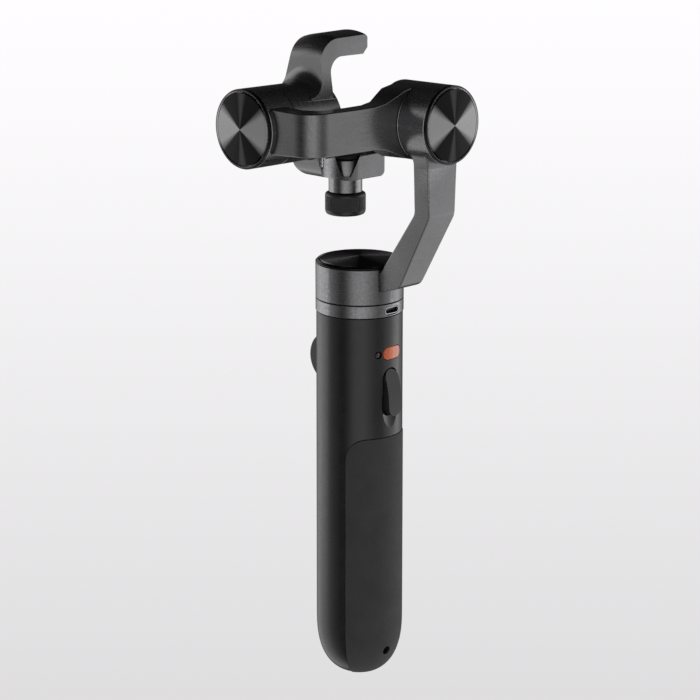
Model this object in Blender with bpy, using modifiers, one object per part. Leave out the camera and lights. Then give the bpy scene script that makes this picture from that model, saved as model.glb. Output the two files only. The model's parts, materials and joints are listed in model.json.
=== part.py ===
"""Handheld three-axis camera gimbal, made as separate pieces.

Frame: metres, +Z up. The origin is the centre of the handle's flat foot, on the handle's axis.
The held camera looks along +Y, so the operator stands on the -Y side and sees the lamp and the
rocker. The pan axis is +Z through the origin, the roll axis runs along Y and the tilt axis along X.
"""
from math import atan2, cos, degrees, hypot, pi, radians, sin, sqrt

import bmesh
import bpy
import numpy as np
from mathutils import Vector

MM = 0.001
GAP = 0.3 * MM              # clearance between pieces that touch

# Handle
HANDLE_TOP = 160.5 * MM
HANDLE_R_TOP = 18.0 * MM
HANDLE_R_LOW = 18.4 * MM
HANDLE_WALL = 2.0 * MM
DOME_HEIGHT = 27.0 * MM     # the rounded lower end
DOME_POWER = 2.6            # squareness of the dome's outline
FOOT_R = 7.5 * MM           # flat ring round the tripod thread

# Grip pad on the back of the handle
PAD_HALF_ANGLE = radians(64.0)
PAD_TOP = 109.0 * MM
PAD_CORNER_R = 9.0 * MM
PAD_RISE = 0.25 * MM
PAD_DEPTH = 0.5 * MM
PAD_FOOT = 0.9 * MM         # height of the pad's lowest edge

# Lamp, rocker and trigger
LAMP_Z = 145.0 * MM
LAMP_SIZE = (10.4 * MM, 5.0 * MM)
LAMP_X = 1.2 * MM
DIM_LAMP_X = -6.2 * MM
DIM_LAMP_R = 1.3 * MM
ROCKER_Z = 128.4 * MM
ROCKER_SIZE = (7.6 * MM, 19.6 * MM)
ROCKER_PIN = (-13.4 * MM, ROCKER_Z)
ROCKER_PIN_R = 0.8 * MM
ROCKER_CROWN = (20.0 * MM, 122.0 * MM, 41.0 * MM)   # y, z and radius of the face's curve
TRIGGER_CENTRE = (14.7 * MM, 137.3 * MM)
TRIGGER_R = 10.8 * MM
TRIGGER_HALF_WIDTH = 4.3 * MM
TRIGGER_BACK = 9.0 * MM
LANYARD_HOLES = ((-3.0, 12.6 * MM), (34.0, 11.6 * MM))   # angle from -Y in degrees, height
LANYARD_R = 1.7 * MM

# Collar with the charging socket
COLLAR = (160.8 * MM, 166.0 * MM)
COLLAR_R = 18.3 * MM
SOCKET_X = 0.7 * MM
SOCKET_Z = 163.1 * MM
SOCKET_SIZE = (8.0 * MM, 6.4 * MM, 3.0 * MM)

# Pan motor
CAN = (166.3 * MM, 180.9 * MM)
CAN_R = 18.3 * MM
PAN_RING = (181.2 * MM, 182.3 * MM)

# Roll and tilt motors share one design, measured from the seam towards the cap
AXIS_Z = 242.5 * MM
MOTOR_R = 15.4 * MM
MOTOR_BORE = 13.8 * MM
MOTOR_LENGTH = 14.65 * MM
BULKHEAD = (11.4 * MM, 13.2 * MM)
POST_R = 5.2 * MM
POST_BORE = 4.3 * MM
POST_TIP = 1.6 * MM
BELL_R = 13.5 * MM
BELL_BORE = 12.3 * MM
BELL_TOP = 9.5 * MM
SHAFT_R = 1.5 * MM
SHAFT_POCKET = 6.3 * MM
ROLL_SEAM_Y = -35.65 * MM
TILT_SEAM_X = -49.55 * MM
ROLL_HUB_LENGTH = 12.9 * MM

# Camera clamp
HOLDER_END_X = -24.8 * MM
HOOK_BACK_X = -32.4 * MM
HOOK_INNER_X = -27.0 * MM
HOOK_TIP_X = -6.2 * MM
HOOK_TOP_Z = 274.4 * MM
HOOK_UNDER_Z = 267.3 * MM
HOOK_FOOT_Z = 246.0 * MM     # the hook's lower end, inside the hub
HOOK_CROWN = 1.3 * MM       # how far the middle of its top stands above the edges
HOOK_LEAN = 1.7 * MM        # how far its finger leans towards the camera
HOOK_LEAN_Z = (252.0 * MM, 266.0 * MM)
HOOK_ROOT_R = 6.4 * MM      # fillet on the hub, behind the hook
HOOK_WIDTHS = (             # height and half width, in millimetres
    (246.0, 12.8),
    (250.0, 12.6),
    (253.0, 11.9),
    (256.0, 11.1),
    (259.0, 10.2),
    (262.5, 9.3),
    (266.0, 8.75),
    (269.0, 8.6),
)
JAW_HALF_WIDTH = 8.25 * MM
JAW_BACK_X = -30.7 * MM
JAW_INNER_X = -25.4 * MM
JAW_TIP_X = 6.6 * MM
JAW_TOP_Z = 227.0 * MM
JAW_BASE_Z = 216.8 * MM
WAIST_R = 18.7 * MM         # hollows in the jaw's sides
WAIST_X = -20.2 * MM
WAIST_Y = 23.55 * MM
SCREW_X = -8.3 * MM
BARREL_R = 6.85 * MM
KNOB_R = 8.3 * MM
KNOB = (202.1 * MM, 211.1 * MM)

ROUND_STEPS = 40            # steps of the large visible round pieces
SMALL_STEPS = 24            # steps of the small and hidden round pieces


# ---------------------------------------------------------------- scene and materials
for leftover in list(bpy.data.objects):
    bpy.data.objects.remove(leftover, do_unlink=True)

parts = bpy.data.collections.new("camera_gimbal")
cutters = bpy.data.collections.new("cutters")
bpy.context.scene.collection.children.link(parts)
bpy.context.scene.collection.children.link(cutters)


def material(name, colour, roughness, metallic):
    """One Principled material."""
    made = bpy.data.materials.new(name)
    made.use_nodes = True
    shader = made.node_tree.nodes["Principled BSDF"]
    shader.inputs["Base Color"].default_value = (*colour, 1.0)
    shader.inputs["Roughness"].default_value = roughness
    shader.inputs["Metallic"].default_value = metallic
    return made


SATIN_SHELL = material("satin_shell", (0.035, 0.034, 0.036), 0.38, 0.0)
GRIP_RUBBER = material("grip_rubber", (0.032, 0.031, 0.033), 0.85, 0.0)
ANODISED = material("anodised_grey", (0.085, 0.085, 0.09), 0.42, 0.8)
ARM_PAINT = material("arm_paint", (0.075, 0.073, 0.077), 0.48, 0.3)
SPUN_METAL = material("spun_metal", (0.10, 0.10, 0.105), 0.25, 1.0)
BRIGHT_EDGE = material("bright_edge", (0.55, 0.55, 0.56), 0.2, 1.0)
KNOB_BLACK = material("knob_black", (0.03, 0.03, 0.032), 0.45, 0.3)
PAD_RUBBER = material("pad_rubber", (0.015, 0.015, 0.016), 0.8, 0.0)
LAMP_ORANGE = material("lamp_orange", (0.85, 0.20, 0.03), 0.3, 0.0)
LAMP_DARK = material("lamp_dark", (0.05, 0.02, 0.02), 0.2, 0.0)
STEEL = material("steel", (0.5, 0.5, 0.52), 0.3, 1.0)
BRASS = material("brass", (0.6, 0.45, 0.2), 0.35, 1.0)
MAGNET = material("magnet", (0.35, 0.35, 0.37), 0.35, 0.9)
COPPER = material("copper_winding", (0.55, 0.22, 0.08), 0.4, 0.8)
BOARD_GREEN = material("board_green", (0.02, 0.12, 0.05), 0.5, 0.0)
CELL_WRAP = material("cell_wrap", (0.05, 0.16, 0.35), 0.4, 0.0)
INNER_PLASTIC = material("inner_plastic", (0.06, 0.06, 0.065), 0.6, 0.0)


# ---------------------------------------------------------------- modelling helpers
TURNS = {"+Z": (0.0, 0.0, 0.0), "-Y": (pi / 2, 0.0, 0.0), "-X": (0.0, -pi / 2, 0.0)}


def add_object(name, data, look):
    """Link a new piece into the parts collection."""
    piece = bpy.data.objects.new(name, data)
    if look is not None:
        data.materials.append(look)
    parts.objects.link(piece)
    return piece


def as_cutter(piece):
    """Move a shape that only serves a Boolean out of the parts."""
    parts.objects.unlink(piece)
    cutters.objects.link(piece)
    piece.hide_render = True
    piece.display_type = "WIRE"
    return piece


def combine(piece, tool, operation):
    """Join, cut or intersect a piece with a cutter."""
    step = piece.modifiers.new(operation.title(), "BOOLEAN")
    step.operation = operation
    step.solver = "EXACT"
    step.object = tool


def cut(piece, *tools):
    for tool in tools:
        combine(piece, tool, "DIFFERENCE")


def join(piece, *tools):
    for tool in tools:
        combine(piece, tool, "UNION")


def turned(name, profile, look=None, axis="+Z", at=(0.0, 0.0, 0.0), steps=SMALL_STEPS, loop=False):
    """A turned shape: (radius, height) points that run down the outer side."""
    mesh = bpy.data.meshes.new(name)
    points = [(radius, 0.0, height) for radius, height in profile]
    edges = [(i, i + 1) for i in range(len(points) - 1)]
    if loop:
        edges.append((len(points) - 1, 0))
    mesh.from_pydata(points, edges, [])
    piece = add_object(name, mesh, look)
    piece.rotation_euler = TURNS[axis]
    piece.location = at
    screw = piece.modifiers.new("Turn", "SCREW")
    screw.steps = steps
    screw.render_steps = steps
    screw.use_merge_vertices = True
    screw.merge_threshold = 0.00001
    return piece


def ring(name, outer, inner, low, high, look=None, axis="+Z", at=(0.0, 0.0, 0.0), steps=SMALL_STEPS):
    profile = [(outer, high), (outer, low), (inner, low), (inner, high)]
    return turned(name, profile, look, axis, at, steps, loop=True)


def rod(name, radius, low, high, look=None, axis="+Z", at=(0.0, 0.0, 0.0), steps=SMALL_STEPS):
    profile = [(0.0, high), (radius, high), (radius, low), (0.0, low)]
    return turned(name, profile, look, axis, at, steps)


def box(name, low, high, look=None, bevel=0.0):
    """A box between two corners, with rounded edges where bevel is given."""
    mesh = bpy.data.meshes.new(name)
    shape = bmesh.new()
    bmesh.ops.create_cube(shape, size=1.0)
    for corner in shape.verts:
        corner.co = Vector([(low[i] + high[i]) / 2 + corner.co[i] * (high[i] - low[i]) for i in range(3)])
    shape.to_mesh(mesh)
    shape.free()
    piece = add_object(name, mesh, look)
    if bevel:
        soften(piece, bevel)
    return piece


def soften(piece, width, segments=2, angle=radians(35)):
    """Round a piece's sharp edges."""
    step = piece.modifiers.new("Bevel", "BEVEL")
    step.width = width
    step.segments = segments
    step.limit_method = "ANGLE"
    step.angle_limit = angle
    step.use_clamp_overlap = True


def prism(name, outline, plane, low, high, look=None, holes=()):
    """A flat outline, filled between the outline and its holes, with a thickness along the third axis.

    plane is "XZ" (thickness along Y), "YZ" (along X) or "XY" (along Z).
    """
    curve = bpy.data.curves.new(name, "CURVE")
    curve.dimensions = "2D"
    curve.fill_mode = "BOTH"
    curve.extrude = (high - low) / 2
    for points in (outline, *holes):
        spline = curve.splines.new("POLY")
        spline.points.add(len(points) - 1)
        for point, (u, v) in zip(spline.points, points):
            point.co = (u, v, 0.0, 1.0)
        spline.use_cyclic_u = True
    holder = bpy.data.objects.new(name + "_outline", curve)
    parts.objects.link(holder)
    bpy.context.view_layer.update()
    evaluated = holder.evaluated_get(bpy.context.evaluated_depsgraph_get())
    mesh = bpy.data.meshes.new_from_object(evaluated)
    bpy.data.objects.remove(holder, do_unlink=True)
    mesh.name = name
    shape = bmesh.new()
    shape.from_mesh(mesh)
    bmesh.ops.remove_doubles(shape, verts=shape.verts, dist=0.00001)
    middle = (low + high) / 2
    for corner in shape.verts:
        u, v, w = corner.co
        if plane == "XZ":
            corner.co = (u, w + middle, v)
        elif plane == "YZ":
            corner.co = (w + middle, u, v)
        else:
            corner.co = (u, v, w + middle)
    face_outwards(shape)
    shape.to_mesh(mesh)
    shape.free()
    mesh.materials.clear()
    return add_object(name, mesh, look)


def face_outwards(shape):
    """Point all faces of a closed bmesh away from its inside."""
    bmesh.ops.recalc_face_normals(shape, faces=shape.faces)
    if shape.calc_volume(signed=True) < 0:
        bmesh.ops.reverse_faces(shape, faces=shape.faces)


def arc(centre, radius, start, end, steps):
    """Points along an arc; angles in degrees."""
    angles = [radians(start + (end - start) * i / steps) for i in range(steps + 1)]
    return [(centre[0] + radius * cos(a), centre[1] + radius * sin(a)) for a in angles]


def stadium(width, height, centre, steps=8):
    """Outline of an upright slot with round ends."""
    radius = width / 2
    half = height / 2 - radius
    upper = arc((centre[0], centre[1] + half), radius, 0, 180, steps)
    lower = arc((centre[0], centre[1] - half), radius, 180, 360, steps)
    return upper + lower


def smooth_round_pieces():
    """Round pieces are shaded smooth, with their sharp edges kept."""
    for piece in parts.objects:
        if piece.type != "MESH":
            continue
        piece.data.shade_smooth()
        piece.data.set_sharp_from_angle(angle=radians(32))


# ---------------------------------------------------------------- handle
def handle_radius(z):
    """Outer radius of the handle at height z: a slight taper over a rounded end."""
    pole = -DOME_HEIGHT * (1 - (1 - (FOOT_R / HANDLE_R_LOW) ** DOME_POWER) ** (1 / DOME_POWER))
    top_of_dome = pole + DOME_HEIGHT
    if z >= top_of_dome:
        share = (z - top_of_dome) / (HANDLE_TOP - top_of_dome)
        return HANDLE_R_LOW + (HANDLE_R_TOP - HANDLE_R_LOW) * share
    reach = (top_of_dome - z) / DOME_HEIGHT
    return HANDLE_R_LOW * (1 - reach ** DOME_POWER) ** (1 / DOME_POWER)


def off_handle(z, distance):
    """Radius and height of the point a distance out from the handle's surface at height z."""
    step = 0.05 * MM
    slope = (handle_radius(z + step) - handle_radius(z - step)) / (2 * step)
    length = hypot(1.0, slope)
    return handle_radius(z) + distance / length, z - distance * slope / length


def handle_profile():
    """Outer wall, foot and inner wall of the hollow handle."""
    dome = [24.0, 20.0, 15.5, 11.0, 7.0, 4.2, 2.2, 0.9]
    outer = [(HANDLE_R_TOP, HANDLE_TOP)]
    outer += [(handle_radius(z), z) for z in (110 * MM, 65 * MM, 27 * MM)]
    outer += [(handle_radius(z * MM), z * MM) for z in dome]
    outer += [(FOOT_R, 0.0)]
    bush = [(5.0 * MM + GAP, 0.0), (5.0 * MM + GAP, 10.0 * MM), (8.0 * MM, 10.0 * MM), (8.0 * MM, 2.6 * MM)]
    inner = [(handle_radius(z * MM) - HANDLE_WALL, z * MM) for z in (4.0, 8.0, 15.0, 24.0)]
    inner += [(HANDLE_R_TOP - HANDLE_WALL, HANDLE_TOP)]
    return outer + bush + inner


def pad_surface(name, out_by, thickness, margin, look):
    """Open sheet on the back of the handle, made solid inwards; its upper corners are round."""
    columns = 18
    rows = 10
    reach = PAD_HALF_ANGLE + margin / HANDLE_R_LOW
    half_width = reach * HANDLE_R_LOW
    corner = PAD_CORNER_R + margin
    shape = bmesh.new()
    grid = []
    for i in range(columns + 1):
        angle = reach * sin(pi / 2 * (2 * i / columns - 1))
        into_corner = max(0.0, abs(angle) * HANDLE_R_LOW - (half_width - corner))
        top = PAD_TOP + margin - (corner - sqrt(max(0.0, corner ** 2 - into_corner ** 2)))
        column = []
        for j in range(rows + 1):
            share = (j / rows) ** 1.7
            z = PAD_FOOT - margin + (top - PAD_FOOT + margin) * share
            radius, height = off_handle(z, out_by)
            column.append(shape.verts.new((radius * sin(angle), -radius * cos(angle), height)))
        grid.append(column)
    for i in range(columns):
        for j in range(rows):
            shape.faces.new((grid[i][j], grid[i + 1][j], grid[i + 1][j + 1], grid[i][j + 1]))
    mesh = bpy.data.meshes.new(name)
    shape.to_mesh(mesh)
    shape.free()
    piece = add_object(name, mesh, look)
    sheet = piece.modifiers.new("Thickness", "SOLIDIFY")
    sheet.thickness = thickness
    sheet.offset = -1.0
    return piece


def build_handle():
    shell = turned("handle_shell", handle_profile(), SATIN_SHELL, steps=ROUND_STEPS, loop=True)
    lug_y = (-15.4 * MM, -11.2 * MM)
    for side in (-1, 1):
        edges = sorted((side * 4.9 * MM, side * 7.4 * MM))
        corner = (edges[0], lug_y[0], ROCKER_Z - 2.2 * MM)
        lug = box("rocker_lug", corner, (edges[1], lug_y[1], ROCKER_Z + 2.2 * MM))
        join(shell, as_cutter(lug))
    recess = pad_surface("grip_recess", 1.5 * MM, 1.5 * MM + PAD_DEPTH + GAP, GAP, None)
    cut(shell, as_cutter(recess))
    slot_x = TRIGGER_HALF_WIDTH + 0.4 * MM
    slot_z = TRIGGER_R + 0.3 * MM
    trigger_slot = box(
        "trigger_slot",
        (-slot_x, 11 * MM, TRIGGER_CENTRE[1] - slot_z),
        (slot_x, 22 * MM, TRIGGER_CENTRE[1] + slot_z),
    )
    lamp_hole = prism("lamp_hole", lamp_outline(GAP), "XZ", -21 * MM, -14 * MM)
    dim_at = (DIM_LAMP_X, 0, LAMP_Z)
    dim_hole = rod("dim_lamp_hole", DIM_LAMP_R + GAP, 14 * MM, 21 * MM, axis="-Y", at=dim_at, steps=12)
    rocker_hole = prism(
        "rocker_hole",
        stadium(ROCKER_SIZE[0] + 0.8 * MM, ROCKER_SIZE[1] + 1.4 * MM, (0.0, ROCKER_Z)),
        "XZ",
        -22 * MM,
        -15.2 * MM,
    )
    pin_hole = rod("pin_hole", ROCKER_PIN_R + GAP, -8 * MM, 8 * MM, axis="-X", at=(0, *ROCKER_PIN), steps=12)
    thumb_scoop = scoop_cutter()
    cut(shell, as_cutter(trigger_slot), as_cutter(lamp_hole), as_cutter(dim_hole))
    cut(shell, as_cutter(thumb_scoop), as_cutter(rocker_hole), as_cutter(pin_hole))
    for number, (angle, height) in enumerate(LANYARD_HOLES):
        at = (0, 0, height)
        hole = rod(f"lanyard_hole_{number}", LANYARD_R, 10 * MM, 22 * MM, axis="-Y", at=at, steps=14)
        hole.rotation_euler = (pi / 2, 0.0, radians(angle))
        cut(shell, as_cutter(hole))

    pad = pad_surface("grip_pad", PAD_RISE, PAD_RISE + PAD_DEPTH, 0.0, GRIP_RUBBER)
    for number, (angle, height) in enumerate(LANYARD_HOLES):
        at = (0, 0, height)
        hole = rod(f"pad_hole_{number}", LANYARD_R + GAP, 10 * MM, 24 * MM, axis="-Y", at=at, steps=14)
        hole.rotation_euler = (pi / 2, 0.0, radians(angle))
        cut(pad, as_cutter(hole))

    ring("tripod_bush", 5.0 * MM, 2.6 * MM, GAP, 9.7 * MM, BRASS, steps=24)


def lamp_outline(margin):
    """Pill-shaped lamp window, lying along X."""
    tall = stadium(LAMP_SIZE[1] + 2 * margin, LAMP_SIZE[0] + 2 * margin, (0.0, 0.0))
    return [(LAMP_X - v, LAMP_Z + u) for u, v in tall]


def scoop_cutter():
    """Shallow thumb hollow round the rocker."""
    centre = (0.0, -23.9 * MM, 124.0 * MM)
    mesh = bpy.data.meshes.new("thumb_scoop")
    shape = bmesh.new()
    bmesh.ops.create_uvsphere(shape, u_segments=20, v_segments=10, radius=1.0)
    for corner in shape.verts:
        x, y, z = corner.co
        corner.co = (centre[0] + x * 9.5 * MM, centre[1] + y * 7.3 * MM, centre[2] + z * 18.5 * MM)
    shape.to_mesh(mesh)
    shape.free()
    return add_object("thumb_scoop", mesh, None)


def build_controls():
    lamp = prism("status_lens", lamp_outline(0.0), "XZ", -18.3 * MM, -15.2 * MM, LAMP_ORANGE)
    lens_r = handle_radius(LAMP_Z) + 0.1 * MM
    face = ring("lens_face", 30 * MM, lens_r, LAMP_Z - 5 * MM, LAMP_Z + 5 * MM, steps=64)
    cut(lamp, as_cutter(face))
    dim_at = (DIM_LAMP_X, 0, LAMP_Z)
    rod("dim_lens", DIM_LAMP_R, 14.4 * MM, 16.9 * MM, LAMP_DARK, axis="-Y", at=dim_at, steps=12)

    outline = stadium(*ROCKER_SIZE, (0.0, ROCKER_Z))
    rocker = prism("mode_rocker", outline, "XZ", -22 * MM, -15.6 * MM, SATIN_SHELL)
    crown_y, crown_z, crown_r = ROCKER_CROWN
    crown = rod("rocker_crown", crown_r, -8 * MM, 8 * MM, axis="-X", at=(0, crown_y, crown_z), steps=120)
    combine(rocker, as_cutter(crown), "INTERSECT")
    corner = (-2.6 * MM, -16.5 * MM, ROCKER_Z - 9 * MM)
    web = box("rocker_web", corner, (2.6 * MM, -12.2 * MM, ROCKER_Z + 9 * MM))
    join(rocker, as_cutter(web))
    bore = rod("rocker_bore", ROCKER_PIN_R + GAP, -5 * MM, 5 * MM, axis="-X", at=(0, *ROCKER_PIN), steps=12)
    cut(rocker, as_cutter(bore))
    rod("rocker_pin", ROCKER_PIN_R, -7.0 * MM, 7.0 * MM, STEEL, axis="-X", at=(0, *ROCKER_PIN), steps=12)

    rim = arc(TRIGGER_CENTRE, TRIGGER_R, -118, 118, 22)
    foot = [(TRIGGER_BACK, rim[-1][1]), (TRIGGER_BACK, rim[0][1])]
    trigger = prism("trigger", rim + foot, "YZ", -TRIGGER_HALF_WIDTH, TRIGGER_HALF_WIDTH, SATIN_SHELL)
    soften(trigger, 0.7 * MM)
    switch_x = 3.0 * MM
    box(
        "trigger_switch",
        (-switch_x, 3.0 * MM, TRIGGER_CENTRE[1] - switch_x),
        (switch_x, 6.6 * MM, TRIGGER_CENTRE[1] + switch_x),
        STEEL,
    )
    switches = (("rocker_switch_lower", ROCKER_Z - 6.5 * MM), ("rocker_switch_upper", ROCKER_Z + 6.5 * MM))
    for name, z in switches:
        box(name, (-2.2 * MM, -10.9 * MM, z - 1.8 * MM), (2.2 * MM, -7.7 * MM, z + 1.8 * MM), STEEL)


def build_handle_inside():
    ring("battery_sleeve", 15.5 * MM, 13.6 * MM, 26 * MM, 104 * MM, INNER_PLASTIC)
    rod("battery_cell", 13.2 * MM, 29 * MM, 99 * MM, CELL_WRAP)
    rod("battery_contact_base", 6 * MM, 28.2 * MM, 28.7 * MM, STEEL, steps=20)
    rod("battery_contact_top", 6 * MM, 99.3 * MM, 99.8 * MM, STEEL, steps=20)
    frame = rod("board_frame", 15.5 * MM, 104.3 * MM, 106.3 * MM, INNER_PLASTIC)
    for side in (-1, 1):
        edges = sorted((side * 11.3 * MM, side * 13.2 * MM))
        rail = box("frame_rail", (edges[0], -7 * MM, 105 * MM), (edges[1], 6 * MM, 155.5 * MM))
        join(frame, as_cutter(rail))
    box("main_board", (-11 * MM, -7.4 * MM, 106.6 * MM), (11 * MM, -6.0 * MM, 155 * MM), BOARD_GREEN)
    box("trigger_board", (-8 * MM, 1.3 * MM, 124 * MM), (8 * MM, 2.7 * MM, 152 * MM), BOARD_GREEN)


def build_collar():
    post_r = 7.3 * MM
    bore = 5.2 * MM
    post_top = 175.9 * MM
    spigot_r = HANDLE_R_TOP - HANDLE_WALL - GAP
    profile = [
        (COLLAR_R, COLLAR[1]),
        (COLLAR_R, COLLAR[0]),
        (spigot_r, COLLAR[0]),
        (spigot_r, 156.5 * MM),
        (14.2 * MM, 156.5 * MM),
        (14.2 * MM, 165.0 * MM),
        (bore, 165.0 * MM),
        (bore, post_top),
        (post_r, post_top),
        (post_r, COLLAR[1]),
    ]
    collar = turned("collar_ring", profile, ANODISED, steps=ROUND_STEPS, loop=True)
    half_x = SOCKET_SIZE[0] / 2
    half_z = SOCKET_SIZE[2] / 2
    front = -17.9 * MM
    back = front + SOCKET_SIZE[1]
    hole = box(
        "socket_hole",
        (SOCKET_X - half_x - GAP, -20 * MM, SOCKET_Z - half_z - GAP),
        (SOCKET_X + half_x + GAP, back + 1 * MM, SOCKET_Z + half_z + GAP),
    )
    cut(collar, as_cutter(hole))
    socket = box(
        "charging_socket",
        (SOCKET_X - half_x, front, SOCKET_Z - half_z),
        (SOCKET_X + half_x, back, SOCKET_Z + half_z),
        STEEL,
    )
    wall = 0.4 * MM
    mouth = box(
        "socket_mouth",
        (SOCKET_X - half_x + wall, front - 1 * MM, SOCKET_Z - half_z + wall),
        (SOCKET_X + half_x - wall, back - wall, SOCKET_Z + half_z - wall),
    )
    cut(socket, as_cutter(mouth))
    box(
        "socket_tongue",
        (SOCKET_X - 2.4 * MM, front + 1.4 * MM, SOCKET_Z - 0.1 * MM),
        (SOCKET_X + 2.4 * MM, back - wall - GAP, SOCKET_Z + 0.6 * MM),
        INNER_PLASTIC,
    )


# ---------------------------------------------------------------- motors
def stator_outline(tip_r, root_r, teeth):
    """Star outline of a wound stator: broad tooth tips on narrow necks."""
    points = []
    pitch = 2 * pi / teeth
    for tooth in range(teeth):
        middle = tooth * pitch
        for radius, offset in ((root_r, -0.26), (tip_r, -0.36), (tip_r, 0.36), (root_r, 0.26)):
            angle = middle + offset * pitch
            points.append((radius * cos(angle), radius * sin(angle)))
    return points


def stator(name, tip_r, root_r, bore_r, low, high, axis, at):
    bore = arc((0.0, 0.0), bore_r, 0, 345, 23)
    piece = prism(name, stator_outline(tip_r, root_r, 12), "XY", low, high, COPPER, holes=(bore,))
    piece.rotation_euler = TURNS[axis]
    piece.location = at
    return piece


def motor_frame(axis):
    """Where a roll or tilt motor's seam lies."""
    if axis == "-Y":
        return (0.0, ROLL_SEAM_Y, AXIS_Z)
    return (TILT_SEAM_X, 0.0, AXIS_Z)


def motor_drum(name, axis):
    """Outside of a motor housing."""
    return rod(name, MOTOR_R, GAP / 2, BULKHEAD[1], None, axis, motor_frame(axis), ROUND_STEPS)


def motor_cavity(name, axis):
    """All the empty space inside a motor housing, around its bearing post."""
    profile = [
        (0.0, BULKHEAD[1] + 1 * MM),
        (POST_BORE, BULKHEAD[1] + 1 * MM),
        (POST_BORE, POST_TIP),
        (POST_R, POST_TIP),
        (POST_R, BULKHEAD[0]),
        (MOTOR_BORE, BULKHEAD[0]),
        (MOTOR_BORE, -1 * MM),
        (0.0, -1 * MM),
    ]
    return turned(name, profile, None, axis, motor_frame(axis), ROUND_STEPS)


def motor_bell(name, look, axis, length):
    """Hub beyond the seam, with the bell that carries the magnets back into the housing."""
    profile = [
        (0.0, -SHAFT_POCKET),
        (SHAFT_R + GAP, -SHAFT_POCKET),
        (SHAFT_R + GAP, 0.2 * MM),
        (BELL_BORE, 0.2 * MM),
        (BELL_BORE, BELL_TOP),
        (BELL_R, BELL_TOP),
        (BELL_R, -GAP / 2),
        (MOTOR_R, -GAP / 2),
        (MOTOR_R, 0.8 * MM - length),
        (MOTOR_R - 0.8 * MM, -length),
        (0.0, -length),
    ]
    return turned(name, profile, look, axis, motor_frame(axis), ROUND_STEPS)


def motor_fittings(prefix, axis):
    """Cap, bright ring, stator, magnets, bearings and shaft of a roll or tilt motor."""
    at = motor_frame(axis)
    seat = BULKHEAD[1] + GAP
    cone = 1.2 * MM
    cap_r = MOTOR_R - 1.4 * MM
    profile = [(0.0, MOTOR_LENGTH + cone), (cap_r, MOTOR_LENGTH), (cap_r, seat), (0.0, seat)]
    turned(prefix + "_cap", profile, SPUN_METAL, axis, at, ROUND_STEPS)
    chamfer = 0.5 * MM
    ring_profile = [
        (MOTOR_R - chamfer, MOTOR_LENGTH),
        (MOTOR_R, MOTOR_LENGTH - chamfer),
        (MOTOR_R, seat),
        (cap_r + GAP, seat),
        (cap_r + GAP, MOTOR_LENGTH),
    ]
    turned(prefix + "_cap_ring", ring_profile, BRIGHT_EDGE, axis, at, ROUND_STEPS, loop=True)
    stator(prefix + "_stator", 10.4 * MM, 7.4 * MM, POST_R + GAP, 2.4 * MM, 10.8 * MM, axis, at)
    ring(prefix + "_magnet_ring", BELL_BORE - GAP, 10.8 * MM, 1.5 * MM, 9.2 * MM, MAGNET, axis, at)
    bearing_r = POST_BORE - GAP
    inner_r = SHAFT_R + GAP
    ring(prefix + "_bearing_inner", bearing_r, inner_r, 1.9 * MM, 4.4 * MM, STEEL, axis, at, 24)
    ring(prefix + "_bearing_outer", bearing_r, inner_r, 8.6 * MM, 11.1 * MM, STEEL, axis, at, 24)
    rod(prefix + "_shaft", SHAFT_R, GAP - SHAFT_POCKET, 12.6 * MM, STEEL, axis, at, 20)


def build_pan_motor():
    turned(
        "pan_cap",
        [(0.0, 183.4 * MM), (16.4 * MM, PAN_RING[1]), (16.4 * MM, PAN_RING[0]), (0.0, PAN_RING[0])],
        SPUN_METAL,
        steps=ROUND_STEPS,
    )
    ring_profile = [
        (17.3 * MM, PAN_RING[1]),
        (CAN_R, PAN_RING[1] - 0.9 * MM),
        (CAN_R, PAN_RING[0]),
        (16.7 * MM, PAN_RING[0]),
        (16.7 * MM, PAN_RING[1]),
    ]
    turned("pan_cap_ring", ring_profile, BRIGHT_EDGE, steps=ROUND_STEPS, loop=True)
    ring("pan_magnet_ring", 16.3 * MM, 15.0 * MM, 168.5 * MM, 177.0 * MM, MAGNET, steps=40)
    stator("pan_stator", 14.6 * MM, 10.4 * MM, 7.6 * MM, 169.0 * MM, 176.6 * MM, "+Z", (0, 0, 0))
    ring("pan_bearing_lower", 4.9 * MM, 2.3 * MM, 167.0 * MM, 170.0 * MM, STEEL, steps=24)
    ring("pan_bearing_upper", 4.9 * MM, 2.3 * MM, 172.6 * MM, 175.6 * MM, STEEL, steps=24)
    rod("pan_shaft", 2.0 * MM, 163.4 * MM, 179.6 * MM, STEEL, steps=20)


# ---------------------------------------------------------------- pan arm
ARM_BACK_Y = -45.4 * MM
ARM_FRONT_Y = -37.4 * MM
ARM_FLARE_R = 9.0 * MM


def arm_half_width(z):
    """The arm narrows from its head to its foot."""
    return 6.5 * MM + (z - 175 * MM) * 0.0363


def arm_bar():
    """The cranked bar, as a side outline narrowed towards its foot."""
    outline = [
        (ARM_BACK_Y, 236 * MM),
        (ARM_BACK_Y, 206.4 * MM),
        (-44.6 * MM, 204.4 * MM),
        (-29.4 * MM, 176.2 * MM),
        (-27.6 * MM, 174.7 * MM),
        (-14.5 * MM, 170.6 * MM),
        (-14.5 * MM, 177.6 * MM),
        (-18.6 * MM, 180.4 * MM),
        (-36.8 * MM, 206.0 * MM),
        (ARM_FRONT_Y, 208.0 * MM),
        (ARM_FRONT_Y, 236 * MM),
    ]
    bar = prism("arm_bar", outline, "YZ", -MM, MM)
    for corner in bar.data.vertices:
        side = 1 if corner.co.x > 0 else -1
        corner.co.x = side * arm_half_width(corner.co.z)
    return bar


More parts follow.
